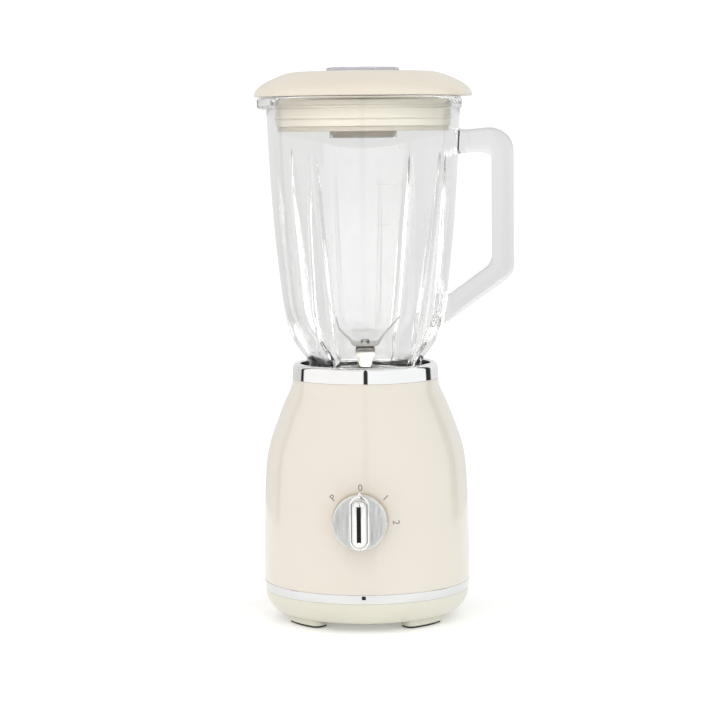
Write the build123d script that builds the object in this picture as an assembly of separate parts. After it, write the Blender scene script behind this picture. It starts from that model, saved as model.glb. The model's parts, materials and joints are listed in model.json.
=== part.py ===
from build123d import *

import math
import os

# Countertop blender. Millimetres, +Z up. The origin is on the surface that the feet stand on,
# at the vertical axis of the motor and the jug. The knob faces -Y, the jug's handle +X, its spout -X.
# Outlines are (radius, height) points about the vertical axis. Angles go from the front towards +X.

# Heights of the main levels
PAD_TOP_Z = 1.4
PAN_BOTTOM_Z = 5.6
PAN_TOP_Z = 22.0
SHELL_BOTTOM_Z = 28.7
SHELL_TOP_Z = 175.7
COLLAR_TOP_Z = 187.0
JUG_FOOT_Z = 170.0
GROOVE_FOOT_Z = 187.5
JUG_RIM_Z = 379.0
LID_EDGE_Z = 379.6
LID_TOP_Z = 397.0
CAP_TOP_Z = 400.0

# Motor base
SHEET = 1.2
PAN_WALL = 2.3
COLLAR_R = 53.2
COLLAR_BORE_R = 47.5
TRIM_R = 75.2
SCREW_CIRCLE_R = 54.0
SCREW_ANGLES = (-50, 50, 130, 230)
FOOT_IN_R = 47.0
FOOT_OUT_R = 61.0
FOOT_HALF_ANGLE = 18.0
FOOT_CORNER = 5.0
POST_R = 4.5
POST_FOOT_Z = 24.0
SCREW_R = 1.9
SCREW_HEAD_R = 3.6
SCREW_HEAD = 2.4
SCREW_WELL_R = 4.0
SCREW_WELL_TOP_Z = 8.0
UPSTAND_TOP_Z = 34.0
AIR_SLOTS = 18
AIR_SLOT_LENGTH = 20.0
AIR_SLOT_WIDTH = 3.2
AIR_SLOT_CIRCLE_R = 28.0

# Cord gland, whose axis runs back along +Y at this height
GLAND_Z = 13.6
GLAND_NECK_R = 5.0
GLAND_FLANGE_R = 6.6
GLAND_BORE_R = 3.5
GLAND_IN_Y = 62.0
GLAND_FLANGE_Y = 72.6
GLAND_OUT_Y = 75.0

# Socket that the jug stands in
SEAT_OUT_R = 50.3
SEAT_IN_R = 47.3
SEAT_LEDGE_R = 43.0
SEAT_LEDGE_Z = 155.8
SEAT_FLOOR_Z = 150.0
SEAT_UNDER_Z = 147.0
SEAT_FLANGE_R = 59.5
LUG_WIDTH = 9.0
LUG_CLEAR = 0.6

# Motor
SHAFT_R = 3.96
BEARING_BORE_R = 4.0
BEARING_R = 11.0
BEARING_WIDTH = 7.0
STACK_LOW_Z = 90.0
STACK_HIGH_Z = 120.0
STATOR_X = 68.0
STATOR_Y = 54.0
STATOR_BORE_R = 18.2
ARMATURE_R = 17.6
WINDOW_X = 49.0
WINDOW_Y = 42.0
POLE_HALF_Y = 14.3
BOLT_X = 29.0
BOLT_Y = 21.0
BOLT_R = 2.0
BOLT_HOLE_R = 2.2
BOLT_HEX_R = 3.6
BOLT_HEAD = 3.0
LEG_R = 4.0
BRACKET_LOW_Z = 60.0
BRACKET_HIGH_Z = 131.0
BRACKET_SHEET = 2.5
BRACKET_WINDOW_Y = 19.5
EAR_SPAN = 84.0
EAR_DEPTH = 28.0
MOUNT_X = 36.0
MOUNT_Y = 9.0
MOUNT_R = 4.5
MOUNT_TOP_Z = 141.0
COMMUTATOR_R = 11.0
COMMUTATOR_LOW_Z = 72.0
COMMUTATOR_HIGH_Z = 84.0
COMMUTATOR_BARS = 12
COMMUTATOR_SLIT = 0.6
COMMUTATOR_SLIT_DEPTH = 1.5
ARMATURE_SLOTS = 12
ARMATURE_SLOT_R = 1.8
ARMATURE_SLOT_MOUTH = 1.2
BRUSH_Z = 78.0
BRUSH_HALF = 3.0
BRUSH_TUBE_HALF = 4.5
SPRING_R = 2.0
SPRING_WIRE_R = 0.4
SPRING_TURNS = 8
SPRING_PITCH = 0.78
FAN_R = 32.0
FAN_LOW_Z = 46.0
FAN_HIGH_Z = 56.0
FAN_VANES = 12
FAN_VANE = 1.6

# Couplings between the motor and the blades
STAR_R = 10.0
STAR_CORE_R = 6.2
STAR_TOOTH = 3.4
STAR_TOP_Z = 163.5
SOCKET_R = 10.7
SOCKET_TOOTH_R = 7.0
SOCKET_BOTTOM_Z = 157.5
SOCKET_ROOF_Z = 165.0
TEETH = 6

# Control knob, whose axis is the line x = 0, z = KNOB_Z; depths are measured out from the blender's axis
KNOB_Z = 82.0
KNOB_R = 19.35
KNOB_BACK = 76.9
KNOB_FACE = 84.5
GRIP_FRONT = 93.5
GRIP_WIDTH = 14.0
BEZEL_R = 20.2
BEZEL_FRONT = 76.3
SWITCH_SHAFT_R = 3.0
SWITCH_BORE_R = 3.05
SWITCH_NECK_R = 5.0
SWITCH_FRONT = 66.0
SWITCH_BACK = 48.0
SWITCH_CASE = 28.0
SWITCH_NUT_R = 8.0
SWITCH_NUT = 3.0
KNOB_RIM = 0.85
KNOB_RIM_RISE = 0.5
GRIP_CORNER = 5.6

# Jug
GLASS = 4.5
JUG_NECK_R = 40.2
JUG_BORE_R = 34.5
GROOVE_ANGLES = (-29.5, 60.5, 150.5, 240.5)
GROOVE_TOP = (66.3, 325.0)
GROOVE_BOTTOM = (40.0, 187.0)
GROOVE_TIP_R = 1.8
GROOVE_FLANK_ANGLE = 20.0
GROOVE_REACH = 34.0
SPOUT_CENTRE_X = -54.0
SPOUT_R = 22.5
SPOUT_ROOT_R = 14.5
SPOUT_LOW_Z = 345.0
HANDLE_ARM_Z = 345.5
HANDLE_GRIP_X = 100.0
HANDLE_ELBOW_Z = 259.0
HANDLE_THICK = 16.8
HANDLE_DEEP = 15.0
RING_R = 46.0
RING_TOP_Z = 181.0
RING_FOOT_Z = 156.0
RING_GROOVES = 40

# Blades
BLADE_SHEET = 1.1
BLADE_SHAFT_R = 3.0
BLADE_STUD_R = 1.5
BLADE_HUB_Z = 197.4
BLADE_TURN = 3.4
WASHER = 1.2
WASHER_R = 5.2
BLADE_NUT_R = 3.1
BLADE_NUT = 1.6
HUB_HOLE_R = 1.6
BUSH_BORE_R = 3.04
BUSH_R = 4.4

# Lid and measuring cap
LID_R = 78.9
LID_WALL = 2.4
PLUG_R = 62.0
PLUG_BOTTOM_Z = 354.5
FILLER_R = 25.3
SLEEVE_BOTTOM_Z = 372.0
SEAL_R = 64.6
SEAL_SLEEVE_R = 63.2
SEAL_LIPS_Z = (363.9, 371.9)
CAP_R = 24.8
CAP_RIM_R = 26.3
CAP_WALL = 2.0
CAP_ROOF = 2.6
CAP_TAPER = 0.5
CAP_BOTTOM_Z = 349.6

# Plane whose normal points out of the front, with +X to the right and +Z up
FRONT = Plane(origin=(0, 0, KNOB_Z), x_dir=(1, 0, 0), z_dir=(0, -1, 0))


def turned(edges):
    """A solid turned about the vertical axis from edges that close one (radius, height) outline."""
    return revolve(Plane.XZ * make_face(edges), Axis.Z)


def turned_outline(*points):
    """A solid turned about the vertical axis from a straight-sided (radius, height) outline."""
    return turned(Polyline(*points, close=True).edges())


def disc(radius, low, high):
    """An upright cylinder on the vertical axis."""
    return Pos(0, 0, low) * extrude(Circle(radius), high - low)


def ring(inner, outer, low, high):
    """An upright ring on the vertical axis."""
    return Pos(0, 0, low) * extrude(Circle(outer) - Circle(inner), high - low)


def block(x_range, y_range, z_range):
    """A box between two limits along each axis."""
    spans = [(low + high) / 2 for low, high in (x_range, y_range, z_range)]
    sizes = [high - low for low, high in (x_range, y_range, z_range)]
    return Pos(*spans) * Box(*sizes)


def post(x, y, radius, low, high):
    """An upright cylinder at a point of the plan."""
    return Pos(x, y, 0) * disc(radius, low, high)


def around(solid, angles):
    """Copies of a solid that stands at the front, turned to each angle about the vertical axis."""
    return [Rot(0, 0, angle) * solid for angle in angles]


def even(count, start=0.0):
    """Angles that share a full turn."""
    return [start + index * 360 / count for index in range(count)]


def corners(x, y):
    """The four plan points at plus and minus x and y."""
    return [(sx * x, sy * y) for sx in (-1, 1) for sy in (-1, 1)]


def front_disc(radius, near, far):
    """A cylinder on the knob's axis, between two depths out from the blender's axis."""
    return FRONT * Pos(0, 0, near) * extrude(Circle(radius), far - near)


def group(solids):
    """Separate solids kept together as one node."""
    return Compound(children=list(solids))


# Motor base: casing


def foot_plan(shrink):
    """Plan of the foot at the front, an arc of a ring with rounded corners."""
    inner = FOOT_IN_R + shrink
    outer = FOOT_OUT_R - shrink
    half = FOOT_HALF_ANGLE - math.degrees(shrink / SCREW_CIRCLE_R)
    far = CenterArc((0, 0), outer, -90 - half, 2 * half)
    near = CenterArc((0, 0), inner, -90 - half, 2 * half)
    sides = [Line(far @ 0, near @ 0), Line(far @ 1, near @ 1)]
    face = make_face([far, near] + sides)
    return fillet(face.vertices(), FOOT_CORNER)


def foot_pads():
    """Rubber pads under the four feet."""
    pad = fillet(extrude(foot_plan(0.4), PAD_TOP_Z).edges().group_by(Axis.Z)[0], 0.5)
    return group(around(pad, SCREW_ANGLES))


def pan_outer_curve():
    """The base pan's outer corner, from its flat underside up to the trim ring."""
    return Spline((60.0, PAN_BOTTOM_Z), (68.3, 8.5), (73.1, 15.0), (74.3, PAN_TOP_Z),
                  tangents=((1, 0), (0.02, 1)))


def pan_inner_curve():
    """The same corner inside the base pan."""
    return Spline((59.0, PAN_BOTTOM_Z + PAN_WALL), (66.8, 10.5), (70.8, 16.0), (71.4, PAN_TOP_Z),
                  tangents=((1, 0), (0, 1)))


def base_pan():
    """Lower casing: a shallow pan with feet, screw bosses, air slots and the cord gland's hole."""
    outer = pan_outer_curve()
    inner = pan_inner_curve()
    rim = [(74.3, PAN_TOP_Z), (72.9, PAN_TOP_Z), (72.9, UPSTAND_TOP_Z), (70.6, UPSTAND_TOP_Z),
           (70.6, PAN_TOP_Z + 2), (71.4, PAN_TOP_Z)]
    floor_top = PAN_BOTTOM_Z + PAN_WALL
    floor = [(59.0, floor_top), (0, floor_top), (0, PAN_BOTTOM_Z), (60.0, PAN_BOTTOM_Z)]
    pan = turned([outer, inner] + Polyline(*rim).edges() + Polyline(*floor).edges())
    foot = Pos(0, 0, PAD_TOP_Z) * extrude(foot_plan(0), PAN_BOTTOM_Z - PAD_TOP_Z + 0.5)
    boss = post(0, -SCREW_CIRCLE_R, POST_R + 1.5, PAN_BOTTOM_Z, POST_FOOT_Z - 0.2)
    well = post(0, -SCREW_CIRCLE_R, SCREW_WELL_R, PAD_TOP_Z - 1, SCREW_WELL_TOP_Z)
    hole = post(0, -SCREW_CIRCLE_R, SCREW_R + 0.3, PAD_TOP_Z - 1, POST_FOOT_Z + 1)
    pan = pan + around(foot, SCREW_ANGLES) + around(boss, SCREW_ANGLES)
    pan = pan - around(well, SCREW_ANGLES) - around(hole, SCREW_ANGLES)
    slot_plan = SlotOverall(AIR_SLOT_LENGTH, AIR_SLOT_WIDTH, rotation=90)
    slot = Pos(0, -AIR_SLOT_CIRCLE_R, PAN_BOTTOM_Z - 1) * extrude(slot_plan, PAN_WALL + 2)
    pan = pan - around(slot, even(AIR_SLOTS, 10))
    pan = pan - along_back(GLAND_NECK_R, GLAND_IN_Y - 2, GLAND_OUT_Y + 5)
    return pan - along_back(GLAND_FLANGE_R, GLAND_FLANGE_Y, GLAND_OUT_Y + 5)


def along_back(radius, near, far):
    """A cylinder on the cord gland's axis, between two distances behind the blender's axis."""
    return Pos(0, near, GLAND_Z) * Rot(-90, 0, 0) * extrude(Circle(radius), far - near)


def cord_gland():
    """Bushing at the back where a mains lead would enter."""
    neck = along_back(GLAND_NECK_R - 0.05, GLAND_IN_Y, GLAND_FLANGE_Y)
    flange = along_back(GLAND_FLANGE_R, GLAND_FLANGE_Y, GLAND_OUT_Y)
    flange = fillet(flange.edges().group_by(Axis.Y)[-1], 0.8)
    return neck + flange - along_back(GLAND_BORE_R, GLAND_IN_Y - 1, GLAND_OUT_Y + 1)


def trim_ring():
    """Chrome band between the base pan and the body shell."""
    low = Line((73.0, PAN_TOP_Z), (74.3, PAN_TOP_Z))
    face = Spline((74.3, PAN_TOP_Z), (75.1, 25.2), (TRIM_R, SHELL_BOTTOM_Z))
    top = Line((TRIM_R, SHELL_BOTTOM_Z), (73.0, SHELL_BOTTOM_Z))
    back = Line((73.0, SHELL_BOTTOM_Z), (73.0, PAN_TOP_Z))
    return turned([low, face, top, back])


SHELL_CURVE = ((53.2, SHELL_TOP_Z), (57.3, 162.0), (64.6, 144.0), (70.4, 126.5), (73.6, 100.0),
               (75.0, 64.0), (75.2, SHELL_BOTTOM_Z))


def shell_solid(inset):
    """The body shell's outer form as a solid, shrunk in radius by an inset."""
    points = [(radius - inset, height) for radius, height in SHELL_CURVE]
    side = Spline(*points, tangents=((0.1, -1), (0, -1)))
    top = Line((0, SHELL_TOP_Z), points[0])
    bottom = Line((0, SHELL_BOTTOM_Z), points[-1])
    axis = Line((0, SHELL_TOP_Z), (0, SHELL_BOTTOM_Z))
    return turned([side, top, bottom, axis])


def body_shell():
    """Painted sheet-metal cover round the motor, with a hole for the switch's neck."""
    shell = shell_solid(0) - shell_solid(SHEET)
    return shell - front_disc(SWITCH_NECK_R + 0.3, 60, 90)


def collar_ring():
    """Chrome ring that closes the top of the body shell round the socket."""
    side = Line((COLLAR_R, SHELL_TOP_Z), (52.7, 183.6))
    crown = ThreePointArc((52.7, 183.6), (51.7, 186.0), (49.4, COLLAR_TOP_Z))
    lip = Line((49.4, COLLAR_TOP_Z), (48.4, COLLAR_TOP_Z))
    mouth = ThreePointArc((48.4, COLLAR_TOP_Z), (47.8, 186.7), (COLLAR_BORE_R, 186.0))
    inside = Polyline((COLLAR_BORE_R, 186.0), (COLLAR_BORE_R, 184.0), (50.8, 184.0), (50.8, SHELL_TOP_Z),
                      (COLLAR_R, SHELL_TOP_Z))
    return turned([side, crown, lip, mouth] + inside.edges())


def jug_seat():
    """Socket moulding: a cup for the jug's foot, a flange, four long posts and four motor bosses."""
    cup = turned_outline((9.0, SEAT_UNDER_Z), (SEAT_FLANGE_R, SEAT_UNDER_Z), (SEAT_FLANGE_R, SEAT_FLOOR_Z),
                         (SEAT_OUT_R, SEAT_FLOOR_Z), (SEAT_OUT_R, 183.8), (SEAT_IN_R, 183.8),
                         (SEAT_IN_R, SEAT_LEDGE_Z), (SEAT_LEDGE_R, SEAT_LEDGE_Z),
                         (SEAT_LEDGE_R, SEAT_FLOOR_Z), (9.0, SEAT_FLOOR_Z))
    leg = post(0, -SCREW_CIRCLE_R, POST_R, POST_FOOT_Z, SEAT_UNDER_Z + 1)
    pilot = post(0, -SCREW_CIRCLE_R, SCREW_R - 0.1, POST_FOOT_Z - 1, 42)
    seat = cup + around(leg, SCREW_ANGLES) - around(pilot, SCREW_ANGLES)
    for x, y in corners(MOUNT_X, MOUNT_Y):
        seat = seat + post(x, y, POST_R, MOUNT_TOP_Z, SEAT_UNDER_Z + 1)
        seat = seat - post(x, y, SCREW_R - 0.1, MOUNT_TOP_Z - 1, SEAT_FLOOR_Z - 1)
    half = LUG_WIDTH / 2 + LUG_CLEAR
    pocket = block((-half, half), (-46.4, -42.0), (SEAT_FLOOR_Z + 2, SEAT_LEDGE_Z + 1))
    return seat - around(pocket, even(4, 45))


def pan_head_screw(low, length):
    """Pan-head screw on the vertical axis, head down, with its head's underside at a height."""
    head = fillet(disc(SCREW_HEAD_R, low, low + SCREW_HEAD).edges().group_by(Axis.Z)[0], 0.9)
    shank = disc(SCREW_R - 0.2, low + SCREW_HEAD, low + SCREW_HEAD + length)
    slot = block((-2.4, 2.4), (-0.5, 0.5), (low - 0.1, low + 1.2))
    cross = block((-0.5, 0.5), (-2.4, 2.4), (low - 0.1, low + 1.2))
    return head + shank - slot - cross


def base_screws():
    """Screws that pull the base pan up to the socket moulding's posts, hidden above the foot pads."""
    screw = Pos(0, -SCREW_CIRCLE_R, 0) * pan_head_screw(SCREW_WELL_TOP_Z - SCREW_HEAD, 28)
    return group(around(screw, SCREW_ANGLES))


# Motor base: motor


def bearing(low):
    """Plain bearing ring for the motor shaft."""
    sleeve = ring(BEARING_BORE_R, BEARING_R, low, low + BEARING_WIDTH)
    race_gap = ring(6.6, 8.6, low + BEARING_WIDTH - 0.8, low + BEARING_WIDTH + 1)
    return sleeve - race_gap


def upper_bearing():
    return bearing(BRACKET_HIGH_Z + BRACKET_SHEET)


def lower_bearing():
    return bearing(BRACKET_LOW_Z + BRACKET_SHEET)


def bearing_cup(bottom):
    """Sheet plate's drawn cup round a bearing, from the plate's underside."""
    top = bottom + BRACKET_SHEET + BEARING_WIDTH - 1
    return ring(BEARING_R, BEARING_R + 2, bottom, top)


def bracket_plate(bottom, size_x, size_y):
    """Rounded plate with a bearing cup, two air windows and holes for the long motor bolts."""
    plate = Pos(0, 0, bottom) * extrude(RectangleRounded(size_x, size_y, 5), BRACKET_SHEET)
    plate = plate + bearing_cup(bottom) - disc(5.2, bottom - 1, bottom + BRACKET_SHEET + 1)
    for side in (-1, 1):
        window = extrude(SlotOverall(34, 7), BRACKET_SHEET + 2)
        plate = plate - Pos(0, side * BRACKET_WINDOW_Y, bottom - 1) * window
    for x, y in corners(BOLT_X, BOLT_Y):
        plate = plate - post(x, y, BOLT_HOLE_R, bottom - 1, bottom + BRACKET_SHEET + 1)
    return plate


def spacer_legs(low, high):
    """Hollow legs between a bracket's plate and the stator, round the long motor bolts."""
    return [post(x, y, LEG_R, low, high) - post(x, y, BOLT_HOLE_R, low - 1, high + 1)
            for x, y in corners(BOLT_X, BOLT_Y)]


def upper_bracket():
    """Bracket over the stator, with ears for the rubber mounts."""
    low = BRACKET_HIGH_Z
    plate = bracket_plate(low, STATOR_X, STATOR_Y)
    ears = RectangleRounded(EAR_SPAN, EAR_DEPTH, 5) - Rectangle(STATOR_X - 8, 2 * EAR_DEPTH)
    ears = Pos(0, 0, low) * extrude(ears, BRACKET_SHEET)
    bracket = plate + ears + spacer_legs(STACK_HIGH_Z, low + 0.5)
    for x, y in corners(BOLT_X, BOLT_Y):
        bracket = bracket - post(x, y, BOLT_HOLE_R, STACK_HIGH_Z - 1, low + BRACKET_SHEET + 1)
    for x, y in corners(MOUNT_X, MOUNT_Y):
        bracket = bracket - post(x, y, SCREW_R + 0.3, low - 1, low + BRACKET_SHEET + 1)
    return bracket


def lower_bracket():
    """Bracket under the stator, with two posts for the brush holders."""
    low = BRACKET_LOW_Z
    bracket = bracket_plate(low, STATOR_X, STATOR_Y) + spacer_legs(low + BRACKET_SHEET - 0.5, STACK_LOW_Z)
    for x, y in corners(BOLT_X, BOLT_Y):
        bracket = bracket - post(x, y, BOLT_HOLE_R, low - 1, STACK_LOW_Z + 1)
    for side in (-1, 1):
        stalk = block((-2.5, 2.5), (-3, 3), (low + 1, BRUSH_Z - BRUSH_TUBE_HALF))
        bracket = bracket + Pos(side * 24, 0, 0) * stalk
    return bracket


def motor_bolts():
    """Long bolts that clamp the stator between its brackets, with hexagon heads below."""
    bolts = []
    for x, y in corners(BOLT_X, BOLT_Y):
        shank = disc(BOLT_R, BRACKET_LOW_Z - 0.5, BRACKET_HIGH_Z + BRACKET_SHEET + 4)
        head = Pos(0, 0, BRACKET_LOW_Z - BOLT_HEAD) * extrude(RegularPolygon(BOLT_HEX_R, 6), BOLT_HEAD)
        nut = Pos(0, 0, BRACKET_HIGH_Z + BRACKET_SHEET) * extrude(RegularPolygon(BOLT_HEX_R, 6), BOLT_HEAD)
        bolts.append(Pos(x, y, 0) * (shank + head + nut))
    return group(bolts)


def motor_mounts():
    """Rubber bushes between the upper bracket and the socket moulding."""
    low = BRACKET_HIGH_Z + BRACKET_SHEET
    outline = ((SCREW_R + 0.1, low), (MOUNT_R, low), (MOUNT_R - 1, (low + MOUNT_TOP_Z) / 2),
               (MOUNT_R, MOUNT_TOP_Z), (SCREW_R + 0.1, MOUNT_TOP_Z))
    return group([Pos(x, y, 0) * turned_outline(*outline) for x, y in corners(MOUNT_X, MOUNT_Y)])


def motor_screws():
    """Screws up through the upper bracket and the rubber bushes."""
    low = BRACKET_HIGH_Z - SCREW_HEAD
    return group([Pos(x, y, 0) * pan_head_screw(low, 14) for x, y in corners(MOUNT_X, MOUNT_Y)])


def stator_core():
    """Laminated stack with two poles along X and a window for the field coils."""
    plan = RectangleRounded(STATOR_X, STATOR_Y, 6)
    window = RectangleRounded(WINDOW_X, WINDOW_Y, 2)
    poles = [Pos(side * WINDOW_X / 2, 0) * Rectangle(WINDOW_X / 2, 2 * POLE_HALF_Y) for side in (-1, 1)]
    plan = plan - (window - poles) - Circle(STATOR_BORE_R)
    core = Pos(0, 0, STACK_LOW_Z) * extrude(plan, STACK_HIGH_Z - STACK_LOW_Z)
    for x, y in corners(BOLT_X, BOLT_Y):
        core = core - post(x, y, BOLT_HOLE_R, STACK_LOW_Z - 1, STACK_HIGH_Z + 1)
    return core


def field_coils():
    """Copper coil round each pole, through the windows and over both ends of the stack."""
    middle = (STACK_LOW_Z + STACK_HIGH_Z) / 2
    inner_y = 2 * POLE_HALF_Y + 0.6
    inner_z = STACK_HIGH_Z - STACK_LOW_Z + 0.6
    plan = RectangleRounded(inner_y + 11.6, inner_z + 13, 5) - RectangleRounded(inner_y, inner_z, 0.8)
    loop = Plane(origin=(17.2, 0, middle), x_dir=(0, 1, 0), z_dir=(1, 0, 0)) * extrude(plan, 6.8)
    return group([loop, Rot(0, 0, 180) * loop])


def brush_holders():
    """Square brass tubes that guide the carbon brushes."""
    outer = BRUSH_TUBE_HALF
    inner = BRUSH_HALF + 0.1
    holder = block((12.6, 30), (-outer, outer), (BRUSH_Z - outer, BRUSH_Z + outer))
    holder = holder - block((12, 29), (-inner, inner), (BRUSH_Z - inner, BRUSH_Z + inner))
    return group([holder, Rot(0, 0, 180) * holder])


def carbon_brushes():
    """Carbon blocks that bear on the commutator."""
    half = BRUSH_HALF
    brush = block((COMMUTATOR_R + 0.15, 22), (-half, half), (BRUSH_Z - half, BRUSH_Z + half))
    return group([brush, Rot(0, 0, 180) * brush])


def brush_springs():
    """Springs behind the carbon brushes, each as a round of closed coils."""
    coil = Pos(22.5, 0, BRUSH_Z) * Rot(0, 90, 0) * Torus(SPRING_R, SPRING_WIRE_R)
    spring = coil
    for index in range(1, SPRING_TURNS):
        spring = spring + Pos(index * SPRING_PITCH, 0, 0) * coil
    return group([spring, Rot(0, 0, 180) * spring])


def motor_shaft():
    """Steel shaft from the fan to the drive coupling."""
    return disc(SHAFT_R, 42, 159)


def armature_core():
    """Slotted laminated core on the shaft."""
    plan = Circle(ARMATURE_R) - Circle(SHAFT_R)
    pocket = Pos(0, -ARMATURE_R + ARMATURE_SLOT_R + 0.8) * Circle(ARMATURE_SLOT_R)
    slot = pocket + Pos(0, -ARMATURE_R) * Rectangle(ARMATURE_SLOT_MOUTH, 4)
    plan = plan - [Rot(0, 0, angle) * slot for angle in even(ARMATURE_SLOTS)]
    return Pos(0, 0, STACK_LOW_Z) * extrude(plan, STACK_HIGH_Z - STACK_LOW_Z)


def end_turns(low, high):
    """Rounded bundle of winding at one end of the armature."""
    bundle = ring(5.0, 15.0, low, high)
    return fillet(bundle.edges().filter_by(GeomType.CIRCLE).group_by(SortBy.RADIUS)[-1], 2.4)


def armature_windings():
    """Copper end turns below and above the armature's core."""
    return group([end_turns(STACK_LOW_Z - 5.6, STACK_LOW_Z), end_turns(STACK_HIGH_Z, STACK_HIGH_Z + 7)])


def commutator():
    """Copper commutator with slits between its bars."""
    drum = ring(SHAFT_R, COMMUTATOR_R, COMMUTATOR_LOW_Z, COMMUTATOR_HIGH_Z)
    half = COMMUTATOR_SLIT / 2
    slit = block((-half, half), (-COMMUTATOR_R - 1, -COMMUTATOR_R + COMMUTATOR_SLIT_DEPTH),
                 (COMMUTATOR_LOW_Z - 1, COMMUTATOR_HIGH_Z + 1))
    return drum - around(slit, even(COMMUTATOR_BARS, 15))


def cooling_fan():
    """Plastic fan at the foot of the shaft that blows down through the base pan."""
    hub = ring(SHAFT_R, 8, FAN_LOW_Z - 2, FAN_HIGH_Z)
    plate = ring(7, FAN_R, FAN_HIGH_Z - 1.5, FAN_HIGH_Z)
    vane = block((-FAN_VANE / 2, FAN_VANE / 2), (-FAN_R, -7.5), (FAN_LOW_Z, FAN_HIGH_Z - 1))
    return hub + plate + around(vane, even(FAN_VANES))


def star_plan():
    """Plan of the drive coupling's teeth."""
    tooth = Pos(0, -(STAR_CORE_R + STAR_R) / 2) * Rectangle(STAR_TOOTH, STAR_R - STAR_CORE_R + 2)
    plan = Circle(STAR_CORE_R) + [Rot(0, 0, angle) * tooth for angle in even(TEETH)]
    return plan & Circle(STAR_R)


def drive_coupling():
    """Rubber star on top of the motor shaft, with a splash disc at its foot."""
    splash = ring(SHAFT_R, 11.5, 152, 154)
    hub = ring(SHAFT_R, STAR_CORE_R, 151, 156.5)
    star = Pos(0, 0, 156.4) * extrude(star_plan() - Circle(SHAFT_R), STAR_TOP_Z - 156.4)
    return splash + hub + star


# Motor base: switch and knob


def knob_bezel():
    """Ring between the curved body shell and the knob, flat in front."""
    blank = front_disc(BEZEL_R, 60, BEZEL_FRONT) - front_disc(SWITCH_NECK_R + 0.3, 50, 90)
    return fillet((blank - shell_solid(0)).edges().group_by(Axis.Y)[0].group_by(SortBy.RADIUS)[-1], 0.4)


def switch_body():
    """Rotary switch behind the shell, with a threaded neck out through the bezel."""
    plan = RectangleRounded(SWITCH_CASE, SWITCH_CASE, 3)
    case = FRONT * Pos(0, 0, SWITCH_BACK) * extrude(plan, SWITCH_FRONT - SWITCH_BACK)
    neck = front_disc(SWITCH_NECK_R, SWITCH_FRONT - 1, BEZEL_FRONT + 4)
    tags = [FRONT * Pos(x, -17, SWITCH_BACK + 4) * Box(4, 8, 0.8) for x in (-9, 0, 9)]
    return case + neck + tags - front_disc(SWITCH_BORE_R, SWITCH_BACK + 6, 90)


def switch_nut():
    """Hexagon nut that clamps the switch, the shell and the bezel."""
    plan = RegularPolygon(SWITCH_NUT_R, 6) - Circle(SWITCH_NECK_R + 0.02)
    return FRONT * Pos(0, 0, BEZEL_FRONT) * extrude(plan, SWITCH_NUT)


def switch_shaft():
    """Switch spindle that carries the knob."""
    return front_disc(SWITCH_SHAFT_R, SWITCH_BACK + 7, KNOB_FACE - 1.5)


def knob_disc():
    """Knob's satin face, hollow behind, with a boss on the switch spindle."""
    cup = front_disc(KNOB_R - KNOB_RIM, KNOB_BACK, KNOB_FACE)
    cup = cup - front_disc(KNOB_R - 3, KNOB_BACK - 1, KNOB_FACE - 2.2)
    boss = front_disc(6.2, KNOB_BACK + 4.2, KNOB_FACE - 1)
    return cup + boss - front_disc(SWITCH_SHAFT_R, KNOB_BACK - 1, KNOB_FACE - 1.5)


def knob_rim():
    """Chrome rim round the knob's face."""
    blank = front_disc(KNOB_R, KNOB_BACK, KNOB_FACE + KNOB_RIM_RISE)
    blank = blank - front_disc(KNOB_R - KNOB_RIM, KNOB_BACK - 1, GRIP_FRONT)
    return fillet(blank.edges().group_by(Axis.Y)[0], 0.35)


def knob_grip():
    """Chrome finger bar across the knob, with rounded ends and a rounded ridge."""
    low = KNOB_FACE + KNOB_RIM_RISE
    plan = SlotOverall(2 * KNOB_R, GRIP_WIDTH, rotation=90)
    bar = FRONT * Pos(0, 0, low) * extrude(plan, GRIP_FRONT - low)
    bar = fillet(bar.edges().group_by(Axis.Y)[0], GRIP_CORNER)
    foot_plan_inside_rim = SlotOverall(2 * (KNOB_R - KNOB_RIM) - 0.2, GRIP_WIDTH, rotation=90)
    foot = FRONT * Pos(0, 0, KNOB_FACE) * extrude(foot_plan_inside_rim, KNOB_RIM_RISE)
    return bar + foot


def knob_pointer():
    """Small white pointer tab on the knob's rim."""
    tab = Polyline((-1.7, KNOB_R - 0.1), (1.7, KNOB_R - 0.1), (0, KNOB_R + 2.0), close=True)
    solid = FRONT * Pos(0, 0, KNOB_FACE - 1.6) * extrude(make_face(tab), 1.6)
    return solid - front_disc(KNOB_R, 60, 90)


# Jug


def jug_outer_solid():
    """The jug's outside as a solid of revolution, from its neck to its rolled rim."""
    wall = Spline((69.6, 368.0), (68.6, 341.0), (65.4, 289.0), (60.5, 241.0), (56.2, 215.0), (50.6, 201.0),
                  (42.8, 190.6))
    neck = Polyline((42.8, 190.6), (JUG_NECK_R, 186.8), (JUG_NECK_R, JUG_FOOT_Z), (0, JUG_FOOT_Z),
                    (0, JUG_RIM_Z), (69.6, JUG_RIM_Z))
    top = ThreePointArc((69.6, JUG_RIM_Z), (70.9, 378.4), (71.4, 377.0))
    bead = Line((71.4, 377.0), (71.4, 373.0))
    under = ThreePointArc((71.4, 373.0), (70.9, 371.0), (69.6, 368.0))
    return turned([wall, top, bead, under] + neck.edges())


def jug_inner_solid():
    """The jug's hollow as a solid of revolution, open at the top and at the neck."""
    wall = Spline((65.2, 366.0), (64.1, 341.0), (60.9, 289.0), (56.0, 241.0), (51.4, 215.5), (45.6, 203.5),
                  (36.8, 191.8))
    low = Polyline((36.8, 191.8), (JUG_BORE_R, 186.0), (JUG_BORE_R, JUG_FOOT_Z - 1), (0, JUG_FOOT_Z - 1),
                   (0, JUG_RIM_Z + 1), (67.6, JUG_RIM_Z + 1))
    mouth = Polyline((67.6, JUG_RIM_Z + 1), (67.2, 378.4), (65.2, 366.0))
    return turned([wall] + low.edges() + mouth.edges())


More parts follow.
